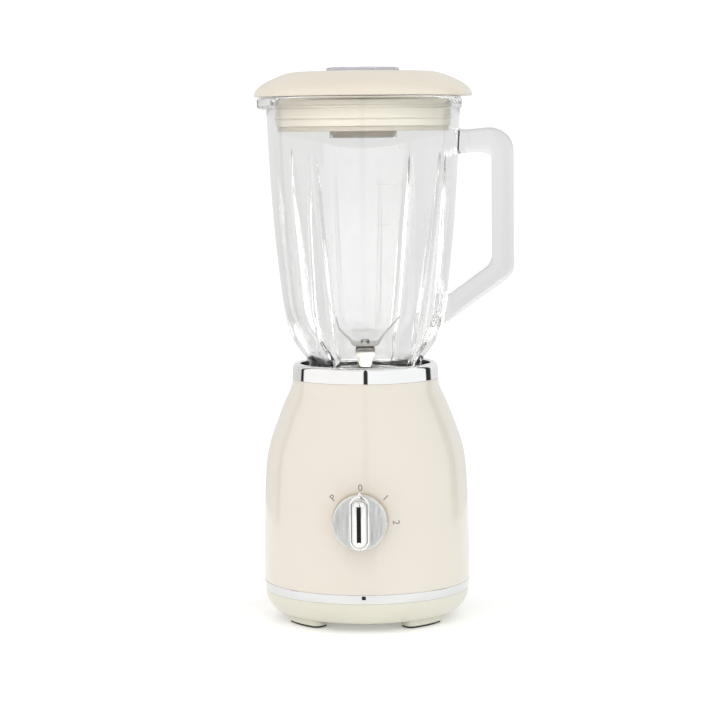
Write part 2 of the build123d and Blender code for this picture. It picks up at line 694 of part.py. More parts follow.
def groove_prism(offset):
    """Blunt wedge along a groove's ridge line at the front, grown all round by an offset."""
    run = GROOVE_TOP[0] - GROOVE_BOTTOM[0]
    rise = GROOVE_TOP[1] - GROOVE_BOTTOM[1]
    flank = math.radians(GROOVE_FLANK_ANGLE)
    radius = GROOVE_TIP_R + offset
    touch_x = radius * math.cos(flank)
    touch_y = radius * math.sin(flank) - GROOVE_TIP_R
    far_x = touch_x + GROOVE_REACH * math.sin(flank)
    far_y = touch_y - GROOVE_REACH * math.cos(flank)
    nose = ThreePointArc((-touch_x, touch_y), (0, offset), (touch_x, touch_y))
    rest = Polyline((touch_x, touch_y), (far_x, far_y), (-far_x, far_y), (-touch_x, touch_y))
    across = Plane(origin=(0, -GROOVE_BOTTOM[0], GROOVE_BOTTOM[1]), x_dir=(1, 0, 0), z_dir=(0, -run, rise))
    prism = across * Pos(0, 0, -30) * extrude(make_face([nose] + rest.edges()), math.hypot(run, rise) + 70)
    return prism - block((-60, 60), (-150, 0), (0, GROOVE_FOOT_Z + 0.2 * offset))


def handle_solid():
    """D-shaped handle, one bar bent twice, running into the wall at both ends."""
    path = FilletPolyline((60, 0, HANDLE_ARM_Z), (HANDLE_GRIP_X, 0, HANDLE_ARM_Z),
                          (HANDLE_GRIP_X, 0, HANDLE_ELBOW_Z), (50, 0, HANDLE_ELBOW_Z - 37.7),
                          radius=(16.6, 15.0))
    start = Plane(origin=(60, 0, HANDLE_ARM_Z), x_dir=(0, 1, 0), z_dir=(1, 0, 0))
    return sweep(start * RectangleRounded(HANDLE_DEEP, HANDLE_THICK, 6), path)


def spout_cone(shrink, top):
    """Upright cone that makes the pouring lip, shrunk by the wall for its hollow."""
    slope = (SPOUT_R - SPOUT_ROOT_R) / (JUG_RIM_Z - SPOUT_LOW_Z)
    height = top - SPOUT_LOW_Z
    low_r = SPOUT_ROOT_R - shrink
    cone = Cone(low_r, low_r + slope * height, height, align=(Align.CENTER, Align.CENTER, Align.MIN))
    return Pos(SPOUT_CENTRE_X, 0, SPOUT_LOW_Z) * cone


def jug_glass():
    """Thick pressed-glass jug with four creased ribs, a pouring lip and a handle, in one piece."""
    body = jug_outer_solid() - around(groove_prism(0), GROOVE_ANGLES)
    body = body + spout_cone(0, JUG_RIM_Z) + handle_solid()
    hollow = jug_inner_solid() - around(groove_prism(GLASS), GROOVE_ANGLES)
    return body - hollow - spout_cone(GLASS - 0.6, JUG_RIM_Z + 1)


def jug_base_ring():
    """Ribbed plastic ring that clamps the blade base to the jug's neck and stands in the socket."""
    bore = JUG_NECK_R + 0.3
    cup = turned_outline((RING_R - 0.6, RING_FOOT_Z), (RING_R, RING_FOOT_Z + 0.6),
                         (RING_R, RING_TOP_Z - 0.8), (RING_R - 0.8, RING_TOP_Z), (bore, RING_TOP_Z),
                         (bore, 167.0), (31.0, 167.0), (31.0, 163.5), (42.0, 163.5), (42.0, RING_FOOT_Z))
    rib_gap = post(0, -RING_R - 0.4, 1.2, RING_FOOT_Z + 6, RING_TOP_Z + 1)
    cup = cup - around(rib_gap, even(RING_GROOVES, 4.5))
    half = LUG_WIDTH / 2
    lug = block((-half, half), (-45.4, -42.6), (SEAT_FLOOR_Z + 3, RING_FOOT_Z + 1))
    return cup + around(lug, even(4, 45))


def jug_gasket():
    """Rubber gasket between the glass neck and the blade base's flange."""
    return ring(34.9, 39.9, 168.2, JUG_FOOT_Z)


def blade_base():
    """Pressed stainless floor of the jug: a low cup with a flange, holed for the bearing housing."""
    top = Line((8.05, 182.7), (30.5, 182.7))
    outer_corner = ThreePointArc((30.5, 182.7), (32.9, 181.7), (33.9, 179.3))
    outside = Polyline((33.9, 179.3), (33.9, 168.2), (39.6, 168.2), (39.6, 167.0), (32.7, 167.0),
                       (32.7, 179.1))
    inner_corner = ThreePointArc((32.7, 179.1), (32.0, 180.8), (30.3, 181.5))
    under = Polyline((30.3, 181.5), (8.05, 181.5), (8.05, 182.7))
    return turned([top, outer_corner, inner_corner] + outside.edges() + under.edges())


def bearing_housing():
    """Turned stainless tower that holds the blade shaft's bushes."""
    return turned_outline((BUSH_R, 170.5), (8.0, 170.5), (8.0, 182.7), (9.5, 182.7), (9.5, 184.0),
                          (5.8, 186.0), (5.8, 194.0), (5.2, 194.6), (BUSH_R, 194.6))


def housing_nut():
    """Hexagon nut under the blade base, on the bearing housing."""
    return Pos(0, 0, 178) * extrude(RegularPolygon(11, 6) - Circle(8.02), 3.5)


def blade_bushes():
    """Plain bushes at both ends of the bearing housing."""
    return group([ring(BUSH_BORE_R, BUSH_R, 171.0, 180.0), ring(BUSH_BORE_R, BUSH_R, 185.0, 194.2)])


def shaft_seal():
    """Rubber seal round the blade shaft, between its bushes."""
    return ring(BUSH_BORE_R, BUSH_R, 180.5, 184.5)


# Blades


def blade_shaft():
    """Stainless shaft from the driven coupling up to a stud for the blades."""
    shoulder = BLADE_HUB_Z - WASHER
    stud_top = BLADE_HUB_Z + 2 * BLADE_SHEET + BLADE_NUT + 0.3
    return disc(BLADE_SHAFT_R, SOCKET_ROOF_Z, shoulder) + disc(BLADE_STUD_R, shoulder, stud_top)


def blade_washer():
    """Washer under the blades."""
    return ring(BLADE_STUD_R + 0.05, WASHER_R, BLADE_HUB_Z - WASHER, BLADE_HUB_Z)


def blade_nut():
    """Small hexagon nut on top of the blades."""
    plan = RegularPolygon(BLADE_NUT_R, 6) - Circle(BLADE_STUD_R + 0.02)
    return Pos(0, 0, BLADE_HUB_Z + 2 * BLADE_SHEET) * extrude(plan, BLADE_NUT)


def bent_strip(points, radii, width):
    """Sheet strip of the blades' thickness, bent along a path whose width lies along Y."""
    path = FilletPolyline(*[(x, 0, z) for x, z in points], radius=radii)
    start = Plane(origin=path @ 0, x_dir=(0, 1, 0), z_dir=path % 0)
    return sweep(start * Rectangle(width, BLADE_SHEET), path)


def upper_blade():
    """Blade pair turned up, one arm curved and one straight, ground to points."""
    level = BLADE_HUB_Z + 1.5 * BLADE_SHEET
    strip = bent_strip([(-21.5, 219.6), (-18.6, 208.0), (-9.0, level), (9.6, level), (25.5, 220.0)],
                       (12.0, 4.0, 3.0), 15)
    plan = make_face(Polyline((-23, 1.0), (-22, 3.5), (-9, 7.4), (9, 7.4), (26.5, -1.0), (26.5, -3.0),
                              (24, -4.6), (9, -7.4), (-9, -7.4), (-23, -2.0), close=True))
    blade = strip & extrude(plan, 240)
    return Rot(0, 0, BLADE_TURN) * (blade - disc(HUB_HOLE_R, 190, 230))


def lower_blade():
    """Blade pair turned down, front and back, tapering to blunt ends."""
    level = BLADE_HUB_Z + 0.5 * BLADE_SHEET
    path = [(-15.3, 185.2), (-8.6, level), (8.6, level), (15.3, 185.2)]
    strip = Rot(0, 0, 90) * bent_strip(path, (2.4, 2.4), 15)
    half_widths = ((6.9, 200), (6.9, 196), (5.7, 193.2), (4.6, 187.4), (2.3, 184.0))
    outline = list(half_widths) + [(-half, height) for half, height in reversed(half_widths)]
    blade = strip & Pos(0, 20, 0) * extrude(Plane.XZ * make_face(Polyline(*outline, close=True)), 40)
    return Rot(0, 0, BLADE_TURN) * (blade - disc(HUB_HOLE_R, 180, 230))


def driven_coupling():
    """Toothed socket under the blade shaft that drops over the motor's star."""
    tooth = Pos(0, -(SOCKET_R + SOCKET_TOOTH_R) / 2) * Rectangle(STAR_TOOTH, SOCKET_R - SOCKET_TOOTH_R + 1)
    hollow = Circle(SOCKET_R) - [Rot(0, 0, angle) * tooth for angle in even(TEETH, 180 / TEETH)]
    body = disc(14, SOCKET_BOTTOM_Z, SOCKET_ROOF_Z + 3.5) - disc(BLADE_SHAFT_R, SOCKET_ROOF_Z - 1, 190)
    return body - Pos(0, 0, SOCKET_BOTTOM_Z - 1) * extrude(hollow, SOCKET_ROOF_Z - SOCKET_BOTTOM_Z + 1)


# Lid and measuring cap


def lid():
    """Domed lid with a deep plug and a sleeve for the measuring cap."""
    flat = Line((FILLER_R, LID_TOP_Z), (48, LID_TOP_Z))
    dome = Spline((48, LID_TOP_Z), (63.4, 393.0), (72.4, 388.5), (77.3, 384.4),
                  tangents=((1, 0), (0.62, -0.78)))
    brow = ThreePointArc((77.3, 384.4), (78.5, 382.7), (LID_R, 380.8))
    plug_in_r = PLUG_R - LID_WALL
    sleeve_out_r = FILLER_R + LID_WALL
    ceiling_z = LID_TOP_Z - LID_WALL
    under = Polyline((LID_R, 380.8), (LID_R - 0.6, LID_EDGE_Z), (76.5, LID_EDGE_Z), (76.0, 382.4),
                     (71.4, 386.0), (68.6, 387.6), (68.6, LID_EDGE_Z), (66.4, LID_EDGE_Z), (66.4, 388.8),
                     (PLUG_R, 390.6), (PLUG_R, PLUG_BOTTOM_Z), (plug_in_r, PLUG_BOTTOM_Z),
                     (plug_in_r, 391.4), (48, ceiling_z), (sleeve_out_r, ceiling_z),
                     (sleeve_out_r, SLEEVE_BOTTOM_Z), (FILLER_R, SLEEVE_BOTTOM_Z), (FILLER_R, LID_TOP_Z))
    return turned([flat, dome, brow] + under.edges())


def lid_seal():
    """Sealing sleeve on the lid's plug, with two lips."""
    sleeve = [(PLUG_R, 376.0), (PLUG_R, 358.0), (SEAL_SLEEVE_R, 358.0)]
    for lip_z in SEAL_LIPS_Z:
        sleeve += [(SEAL_SLEEVE_R, lip_z - 1.3), (SEAL_R, lip_z), (SEAL_SLEEVE_R, lip_z + 1.3)]
    return turned_outline(*sleeve, (SEAL_SLEEVE_R, 376.0))


def measuring_cap():
    """Clear cap: a closed flat top over a hanging cup that is open below."""
    rim_z = LID_TOP_Z + 0.2
    ceiling_z = CAP_TOP_Z - CAP_ROOF
    foot_r = CAP_R - CAP_TAPER
    return turned_outline((0, CAP_TOP_Z), (CAP_RIM_R - 0.8, CAP_TOP_Z), (CAP_RIM_R, CAP_TOP_Z - 0.8),
                          (CAP_RIM_R, rim_z), (CAP_R, rim_z), (foot_r, CAP_BOTTOM_Z),
                          (foot_r - CAP_WALL, CAP_BOTTOM_Z), (CAP_R - CAP_WALL, ceiling_z), (0, ceiling_z))


NODES = (
    foot_pads, base_pan, cord_gland, trim_ring, body_shell, collar_ring, jug_seat, base_screws,
    upper_bearing, lower_bearing, upper_bracket, lower_bracket, motor_bolts, motor_mounts, motor_screws,
    stator_core, field_coils, brush_holders, carbon_brushes, brush_springs,
    motor_shaft, armature_core, armature_windings, commutator, cooling_fan, drive_coupling,
    knob_bezel, switch_body, switch_nut, switch_shaft, knob_disc, knob_rim, knob_grip, knob_pointer,
    jug_glass, jug_base_ring, jug_gasket, blade_base, bearing_housing, housing_nut, blade_bushes,
    shaft_seal, blade_shaft, blade_washer, blade_nut, upper_blade, lower_blade, driven_coupling,
    lid, lid_seal, measuring_cap,
)

os.makedirs("parts", exist_ok=True)
for make in NODES:
    export_step(make(), os.path.join("parts", make.__name__ + ".step"))
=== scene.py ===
import json
import math

import bmesh
import bpy
import numpy as np
from mathutils import Matrix, Vector


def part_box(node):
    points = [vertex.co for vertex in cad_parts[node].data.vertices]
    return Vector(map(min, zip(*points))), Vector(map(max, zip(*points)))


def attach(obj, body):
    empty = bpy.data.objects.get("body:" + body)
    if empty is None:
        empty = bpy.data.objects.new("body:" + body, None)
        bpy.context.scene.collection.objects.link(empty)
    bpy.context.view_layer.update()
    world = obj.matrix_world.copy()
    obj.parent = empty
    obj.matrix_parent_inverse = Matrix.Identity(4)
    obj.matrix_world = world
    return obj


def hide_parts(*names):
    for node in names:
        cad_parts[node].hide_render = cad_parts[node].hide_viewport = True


# Countertop blender. The knob faces -Y, the jug's handle +X and its pouring lip -X.
# Outlines are (inset, rise) points in millimetres: how far in from a CAD node's outer radius, and how far
# up from its lowest level. Angles go from the front towards +X, in degrees.

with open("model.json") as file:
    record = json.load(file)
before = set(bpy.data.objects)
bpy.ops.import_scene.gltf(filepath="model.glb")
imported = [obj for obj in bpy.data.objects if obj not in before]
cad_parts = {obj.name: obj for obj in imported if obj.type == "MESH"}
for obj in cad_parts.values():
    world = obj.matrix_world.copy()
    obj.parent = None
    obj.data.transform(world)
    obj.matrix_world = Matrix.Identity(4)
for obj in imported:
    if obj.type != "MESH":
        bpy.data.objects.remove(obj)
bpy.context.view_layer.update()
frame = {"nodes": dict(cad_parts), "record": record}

MM = 0.001
TINY = 1e-6
CREASE = math.radians(34)

SLOT_OF = {part["node"]: part["material_slot"] for part in frame["record"]["subparts"]}
BODY_OF = {node: body for body, nodes in frame["record"]["behaviour"]["bodies"].items() for node in nodes}


# ---------------------------------------------------------------- curves and meshes


def polar(radius, angle, height):
    """A point of the row frame from its radius, its angle from the front and its height."""
    turn = math.radians(angle)
    return Vector((radius * math.sin(turn), -radius * math.cos(turn), height))


def spline(points, spacing=2.0, start=None, end=None):
    """Points along a curve of continuous curvature through the given ones, with optional end directions."""
    knots = np.array(points, float)
    spans = np.linalg.norm(np.diff(knots, axis=0), axis=1)
    slopes = np.diff(knots, axis=0) / spans[:, None]
    count = len(knots)
    matrix = np.zeros((count, count))
    target = np.zeros_like(knots)
    matrix[0, 0] = matrix[-1, -1] = 1
    for i in range(1, count - 1):
        matrix[i, i - 1:i + 2] = spans[i - 1], 2 * (spans[i - 1] + spans[i]), spans[i]
        target[i] = 6 * (slopes[i] - slopes[i - 1])
    if start is not None:
        matrix[0, :2] = 2 * spans[0], spans[0]
        target[0] = 6 * (slopes[0] - np.array(start) / np.linalg.norm(start))
    if end is not None:
        matrix[-1, -2:] = spans[-1], 2 * spans[-1]
        target[-1] = 6 * (np.array(end) / np.linalg.norm(end) - slopes[-1])
    bend = np.linalg.solve(matrix, target)
    line = [tuple(knots[0])]
    for i, span in enumerate(spans):
        steps = max(2, math.ceil(span / spacing))
        for step in range(1, steps + 1):
            b = step / steps
            a = 1 - b
            curl = (a ** 3 - a) * bend[i] + (b ** 3 - b) * bend[i + 1]
            line.append(tuple(a * knots[i] + b * knots[i + 1] + curl * span ** 2 / 6))
    return line


def rounded(points, radius, closed=True, steps=4):
    """An outline whose corners are rounded. A point may carry its own radius as a third number."""
    line = []
    count = len(points)
    for i, point in enumerate(points):
        here = np.array(point[:2], float)
        if not closed and i in (0, count - 1):
            line.append(tuple(here))
            continue
        before = np.array(points[i - 1][:2], float) - here
        after = np.array(points[(i + 1) % count][:2], float) - here
        lengths = np.linalg.norm(before), np.linalg.norm(after)
        cosine = np.dot(before, after) / (lengths[0] * lengths[1])
        wanted = point[2] if len(point) > 2 else radius
        if wanted <= 0 or cosine < -0.985:
            line.append(tuple(here))
            continue
        half = math.acos(max(-1.0, min(1.0, cosine))) / 2
        reach = min(wanted / math.tan(half), 0.45 * min(lengths))
        first = here + before / lengths[0] * reach
        last = here + after / lengths[1] * reach
        for step in range(steps + 1):
            t = step / steps
            line.append(tuple((1 - t) ** 2 * first + 2 * t * (1 - t) * here + t ** 2 * last))
    return line


def fit(node, outline):
    """(radius, height) points in metres of an outline given inside a turned CAD node's box."""
    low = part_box(node)[0]
    return [(-low.y - inset * MM, low.z + rise * MM) for inset, rise in outline]


def mesh_object(name, bm):
    """A new object with a bmesh's faces, shaded smooth except at creases."""
    bmesh.ops.recalc_face_normals(bm, faces=bm.faces)
    mesh = bpy.data.meshes.new(name)
    bm.to_mesh(mesh)
    bm.free()
    mesh.shade_smooth()
    mesh.set_sharp_from_angle(angle=CREASE)
    piece = bpy.data.objects.new(name, mesh)
    bpy.context.scene.collection.objects.link(piece)
    return piece


def skin(bm, rings, loop=True):
    """Faces between rings of vertices, with the last ring joined to the first in a loop."""
    pairs = list(zip(rings, rings[1:]))
    if loop:
        pairs.append((rings[-1], rings[0]))
    for lower, upper in pairs:
        for i in range(len(lower)):
            j = (i + 1) % len(lower)
            corners = list(dict.fromkeys((lower[i], lower[j], upper[j], upper[i])))
            if len(corners) > 2:
                bm.faces.new(corners)


def turned(name, line, segments=192):
    """A solid turned about the vertical axis from (radius, height) points, which close or end on the axis."""
    bm = bmesh.new()
    rings = []
    for radius, height in line:
        if radius < TINY:
            rings.append([bm.verts.new((0, 0, height))] * segments)
        else:
            rings.append([bm.verts.new(polar(radius, 360 * i / segments, height)) for i in range(segments)])
    skin(bm, rings, loop=line[0][0] > TINY)
    return mesh_object(name, bm)


def grown(name, rings):
    """A solid skinned over rings of points, capped at both ends."""
    bm = bmesh.new()
    verts = [[bm.verts.new(point) for point in ring] for ring in rings]
    skin(bm, verts, loop=False)
    bm.faces.new(verts[0])
    bm.faces.new(verts[-1])
    return mesh_object(name, bm)


def combine(piece, other, operation):
    """Applies a boolean to a piece and removes the other object."""
    cut = piece.modifiers.new("cut", "BOOLEAN")
    cut.operation = operation
    cut.object = other
    cut.solver = "EXACT"
    graph = bpy.context.evaluated_depsgraph_get()
    mesh = bpy.data.meshes.new_from_object(piece.evaluated_get(graph))
    piece.modifiers.clear()
    piece.data = mesh
    mesh.shade_smooth()
    mesh.set_sharp_from_angle(angle=CREASE)
    bpy.data.objects.remove(other)
    return piece


# ---------------------------------------------------------------- materials


class Finish:
    """A Principled material whose colour, roughness and relief come from patterns in object space."""

    def __init__(self, name, colour, roughness, **settings):
        self.material = bpy.data.materials.new(name)
        self.material.use_nodes = True
        self.tree = self.material.node_tree
        self.shader = self.tree.nodes["Principled BSDF"]
        self.place = self.tree.nodes.new("ShaderNodeTexCoord").outputs["Object"]
        self.set("Base Color", (*colour, 1))
        self.set("Roughness", roughness)
        for key, value in settings.items():
            self.set(key.replace("_", " ").title().replace("Ior", "IOR"), value)
        self.relief = None

    def set(self, socket, value):
        self.shader.inputs[socket].default_value = value

    def node(self, kind, **inputs):
        node = self.tree.nodes.new(kind)
        for key, value in inputs.items():
            socket = node.inputs[key.replace("_", " ").title()]
            if hasattr(value, "node"):
                self.tree.links.new(value, socket)
            else:
                socket.default_value = value
        return node

    def stretched(self, factors):
        """Object coordinates scaled unevenly, so that a pattern runs long along the small factors."""
        node = self.node("ShaderNodeMapping", vector=self.place, scale=factors)
        return node.outputs["Vector"]

    def around_axis(self, across, along):
        """Coordinates of distance from the vertical axis and height, for turned brushing."""
        split = self.node("ShaderNodeSeparateXYZ", vector=self.place)
        flat = self.node("ShaderNodeCombineXYZ", x=split.outputs["X"], y=split.outputs["Y"])
        length = self.tree.nodes.new("ShaderNodeVectorMath")
        length.operation = "LENGTH"
        self.tree.links.new(flat.outputs[0], length.inputs[0])
        radius = self.node("ShaderNodeCombineXYZ", x=length.outputs["Value"], z=split.outputs["Z"])
        scaled = self.node("ShaderNodeMapping", vector=radius.outputs[0], scale=(across, 1, along))
        return scaled.outputs["Vector"]

    def noise(self, size, detail=2.0, place=None):
        """Cloudy pattern with features of a size in millimetres."""
        node = self.node("ShaderNodeTexNoise", scale=1 / (size * MM), detail=detail,
                         vector=place or self.place)
        return node.outputs["Fac"]

    def ranged(self, value, low, high, start=0.3, stop=0.7):
        """A pattern's middle stretch spread from one value to another."""
        node = self.node("ShaderNodeMapRange", value=value, from_min=start, from_max=stop, to_min=low,
                         to_max=high)
        return node.outputs["Result"]

    def tint(self, pattern, one, two):
        """Colours that change from one to two with a pattern."""
        ramp = self.tree.nodes.new("ShaderNodeValToRGB")
        for element, position, colour in zip(ramp.color_ramp.elements, (0.3, 0.7), (one, two)):
            element.position = position
            element.color = (*colour, 1)
        self.tree.links.new(pattern, ramp.inputs["Fac"])
        self.tree.links.new(ramp.outputs["Color"], self.shader.inputs["Base Color"])
        return self

    def rough(self, pattern, low, high):
        self.tree.links.new(self.ranged(pattern, low, high), self.shader.inputs["Roughness"])
        return self

    def bump(self, pattern, depth, strength=1.0):
        """Relief from a pattern, of a depth in millimetres, over any relief that is there already."""
        node = self.node("ShaderNodeBump", height=pattern, distance=depth * MM, strength=strength)
        if self.relief is not None:
            self.tree.links.new(self.relief, node.inputs["Normal"])
        self.relief = node.outputs["Normal"]
        self.tree.links.new(self.relief, self.shader.inputs["Normal"])
        return self


def shade(colour, factor):
    return tuple(channel * factor for channel in colour)


def enamel(name, colour):
    """Glossy stoved paint: a clear coat over colour that drifts slightly, with faint orange peel."""
    finish = Finish(name, colour, 0.3, coat_weight=0.6, coat_roughness=0.06, coat_ior=1.5)
    finish.tint(finish.noise(90, 1), shade(colour, 0.992), shade(colour, 1.008))
    finish.rough(finish.noise(12, 2), 0.3, 0.33)
    finish.bump(finish.noise(3.0, 1), 0.0006)
    return finish.material


def moulded(name, colour, roughness, grain=0.6, depth=0.0015, **settings):
    """Moulded plastic or rubber: fine spark-eroded grain and uneven gloss."""
    finish = Finish(name, colour, roughness, **settings)
    finish.tint(finish.noise(40, 1), shade(colour, 0.985), shade(colour, 1.015))
    finish.rough(finish.noise(8, 2), roughness * 0.92, roughness * 1.08)
    finish.bump(finish.noise(grain, 2), depth)
    return finish.material


def plated(name, colour, roughness):
    """Bright plating with a trace of waviness and cloudy polish."""
    finish = Finish(name, colour, roughness, metallic=1.0)
    finish.tint(finish.noise(18, 2), shade(colour, 0.98), colour)
    finish.rough(finish.noise(6, 2), roughness * 0.8, roughness * 1.2)
    finish.bump(finish.noise(9, 1), 0.0012)
    return finish.material


def turned_metal(name, colour, roughness):
    """Metal brushed or turned round the vertical axis, with fine ring-shaped scratches."""
    finish = Finish(name, colour, roughness, metallic=1.0)
    rings = finish.noise(1, 3, finish.around_axis(2.4, 2.4))
    finish.tint(finish.noise(14, 2), shade(colour, 0.94), shade(colour, 1.03))
    finish.rough(rings, roughness * 0.75, roughness * 1.3)
    finish.bump(rings, 0.004)
    return finish.material


def brushed(name, colour, roughness, stretch=(60, 60, 1.5)):
    """Metal brushed one way, with long scratches and a cloudy tone."""
    finish = Finish(name, colour, roughness, metallic=1.0)
    lines = finish.noise(1000, 4, finish.stretched(tuple(40 * factor for factor in stretch)))
    finish.tint(finish.noise(12, 3), shade(colour, 0.92), shade(colour, 1.04))
    finish.rough(lines, roughness * 0.75, roughness * 1.3)
    finish.bump(lines, 0.004)
    return finish.material


def glassy(name, colour, ior, waviness, edge=None, edge_height=0.0):
    """Clear pressed material with slow waves in its surface, and another tint above a height if one is given."""
    finish = Finish(name, colour, 0.0, transmission_weight=1.0, ior=ior)
    finish.rough(finish.noise(30, 2), 0.0, 0.012)
    finish.bump(finish.noise(16, 1), waviness)
    if edge is None:
        finish.tint(finish.noise(50, 1), shade(colour, 0.995), colour)
    else:
        height = finish.node("ShaderNodeSeparateXYZ", vector=finish.place).outputs["Z"]
        finish.tint(finish.ranged(height, 0, 1, edge_height - 0.0003, edge_height + 0.0003), colour, edge)
    return finish.material


def wound(name, colour):
    """Enamelled copper wire: fine turns round the vertical axis."""
    finish = Finish(name, colour, 0.3, metallic=1.0)
    turns = finish.noise(1, 1, finish.around_axis(1.6, 1.6))
    finish.tint(turns, shade(colour, 0.6), colour)
    finish.bump(turns, 0.2)
    return finish.material


def laminated(name, colour):
    """Stack of thin steel sheets, seen as fine level lines."""
    finish = Finish(name, colour, 0.45, metallic=0.9)
    sheets = finish.noise(1000, 1, finish.stretched((20, 20, 1600)))
    finish.tint(sheets, shade(colour, 0.7), shade(colour, 1.1))
    finish.bump(sheets, 0.05)
    return finish.material


MATERIALS = {
    "cream_paint": enamel("cream_paint", (0.66, 0.612, 0.54)),
    "cream_base_plastic": moulded("cream_base_plastic", (0.63, 0.61, 0.52), 0.3, coat_weight=0.3),
    "cream_lid_plastic": moulded("cream_lid_plastic", (0.68, 0.62, 0.525), 0.34, grain=0.9, coat_weight=0.2),
    # cream_seal is paler than the lid's cream: painted light that makes up for the shade of the lid's brim and the
    # glass round the seal.
    "cream_seal": moulded("cream_seal", (0.9, 0.845, 0.73), 0.5, grain=0.5),
    # bezel_plastic's dark gold-brown is painted shade: it stands in for the shadow gap round the knob's edge.
    "bezel_plastic": moulded("bezel_plastic", (0.56, 0.49, 0.39), 0.35),
    "chrome": plated("chrome", (0.86, 0.86, 0.855), 0.045),
    "satin_knob": brushed("satin_knob", (0.93, 0.94, 0.93), 0.36),
    "white_pointer": moulded("white_pointer", (0.85, 0.85, 0.84), 0.4),
    "clear_glass": glassy("clear_glass", (0.988, 0.992, 0.989), 1.42, 0.005),
    "clear_plastic": glassy("clear_plastic", (0.985, 0.985, 0.99), 1.3, 0.002, (0.67, 0.66, 0.73),
                            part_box("measuring_cap")[1].z - 3.2 * MM),
    "stainless": turned_metal("stainless", (0.4, 0.395, 0.385), 0.24),
    "black_rubber": moulded("black_rubber", (0.012, 0.012, 0.012), 0.7, grain=0.8, depth=0.02),
    "dark_plastic": moulded("dark_plastic", (0.045, 0.046, 0.048), 0.3),
    "black_plastic": moulded("black_plastic", (0.02, 0.02, 0.021), 0.4),
    "coupling_rubber": moulded("coupling_rubber", (0.03, 0.03, 0.03), 0.65, grain=0.8, depth=0.02),
    "coupling_plastic": moulded("coupling_plastic", (0.05, 0.05, 0.052), 0.4),
    "machine_steel": turned_metal("machine_steel", (0.5, 0.5, 0.5), 0.28),
    "bracket_steel": plated("bracket_steel", (0.5, 0.5, 0.49), 0.3),
    "core_steel": laminated("core_steel", (0.3, 0.3, 0.31)),
    "copper": wound("copper", (0.72, 0.3, 0.14)),
    "brass": plated("brass", (0.72, 0.54, 0.24), 0.25),
    "carbon": moulded("carbon", (0.02, 0.02, 0.022), 0.55, grain=0.3, depth=0.02),
}


BLADE_STEEL = brushed("blade_steel", (0.5, 0.48, 0.445), 0.3)
DIAL_PRINT = moulded("dial_print", (0.17, 0.15, 0.125), 0.5)
SCALE_PRINT = moulded("scale_print", (0.62, 0.6, 0.55), 0.5)
TRIM_CHROME = plated("trim_chrome", (0.74, 0.745, 0.745), 0.05)
CAP_FOOT = moulded("cap_foot", (0.93, 0.93, 0.92), 0.25, transmission_weight=0.55, ior=1.3)


def finish_with(piece, slot):
    """Gives a piece the material of one of the record's slots."""
    piece.data.materials.clear()
    piece.data.materials.append(MATERIALS[slot])
    return piece


def stand_for(piece, node, material=None):
    """Puts a piece in a CAD node's place: on its body, in its slot's finish or a given one, instead of it."""
    finish_with(piece, SLOT_OF[node])
    if material:
        piece.data.materials[0] = material
    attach(piece, BODY_OF[node])
    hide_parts(node)
    return piece


# ---------------------------------------------------------------- motor base


def body_shell():
    """Painted cover, waisted at the top, with rolled edges."""
    outside = spline([(0, 0.4), (0.2, 35.3), (1.6, 71.3), (4.8, 97.8), (10.6, 115.3), (17.9, 133.3),
                      (22.0, 146.8)], 1.5, start=(0, 1), end=(-0.1, 1))
    inside = [(inset + 1.2, rise) for inset, rise in reversed(outside)]
    line = [(0.3, 0.0)] + outside + [(22.4, 147.0)] + inside + [(1.1, 0.0)]
    return stand_for(turned("cover", fit("body_shell", line), 256), "body_shell")


def collar_ring():
    """Chrome collar with a crowned top edge."""
    crown = spline([(0.5, 7.9), (1.5, 10.3), (3.8, 11.3)], 0.3, start=(0, 1), end=(1, 0))
    mouth = spline([(4.8, 11.3), (5.4, 11.0), (5.7, 10.3)], 0.2, start=(1, 0), end=(0, -1))
    line = [(0.15, 0.0), (0.0, 0.15)] + crown + mouth + [(5.7, 8.3), (2.4, 8.3), (2.4, 0.0)]
    return stand_for(turned("collar", fit("collar_ring", line), 256), "collar_ring")


def trim_ring():
    """Chrome band with small rounded edges."""
    face = spline([(0.9, 0.0), (0.1, 3.2), (0.0, 6.7)], 0.5)
    line = [(1.1, 0.0)] + face[1:-1] + [(0.0, 6.5), (0.2, 6.7), (2.2, 6.7), (2.2, 0.0)]
    return stand_for(turned("trim_band", fit("trim_ring", line), 256), "trim_ring", TRIM_CHROME)


# ---------------------------------------------------------------- knob


KNOB_Z = (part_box("knob_rim")[0].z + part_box("knob_rim")[1].z) / 2
KNOB_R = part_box("knob_rim")[1].x


def knob_point(x, up, depth):
    """A point of the row frame from its place on the knob's face and its depth out from the vertical axis."""
    return Vector((x, -depth, KNOB_Z + up))


def knob_turned(name, line, segments=160):
    """A solid turned about the knob's axis from (radius, depth) points in metres."""
    bm = bmesh.new()
    rings = []
    for radius, depth in line:
        if radius < TINY:
            rings.append([bm.verts.new(knob_point(0, 0, depth))] * segments)
            continue
        turns = [2 * math.pi * i / segments for i in range(segments)]
        rings.append([bm.verts.new(knob_point(radius * math.sin(t), radius * math.cos(t), depth))
                      for t in turns])
    skin(bm, rings, loop=line[0][0] > TINY)
    return mesh_object(name, bm)


def in_mm(points):
    return [(first * MM, second * MM) for first, second in points]


def knob_face():
    """Satin disc, slightly dished, hollow behind."""
    front = -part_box("knob_disc")[0].y / MM
    back = -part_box("knob_disc")[1].y / MM
    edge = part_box("knob_disc")[1].x / MM
    line = [(0, front - 0.1), (9, front - 0.08), (16, front - 0.04), (edge - 0.4, front - 0.02), (edge, front - 0.3),
            (edge, back), (edge - 2.0, back), (edge - 2.2, front - 2.4), (0, front - 2.4)]
    return stand_for(knob_turned("knob_face", in_mm(line)), "knob_disc")


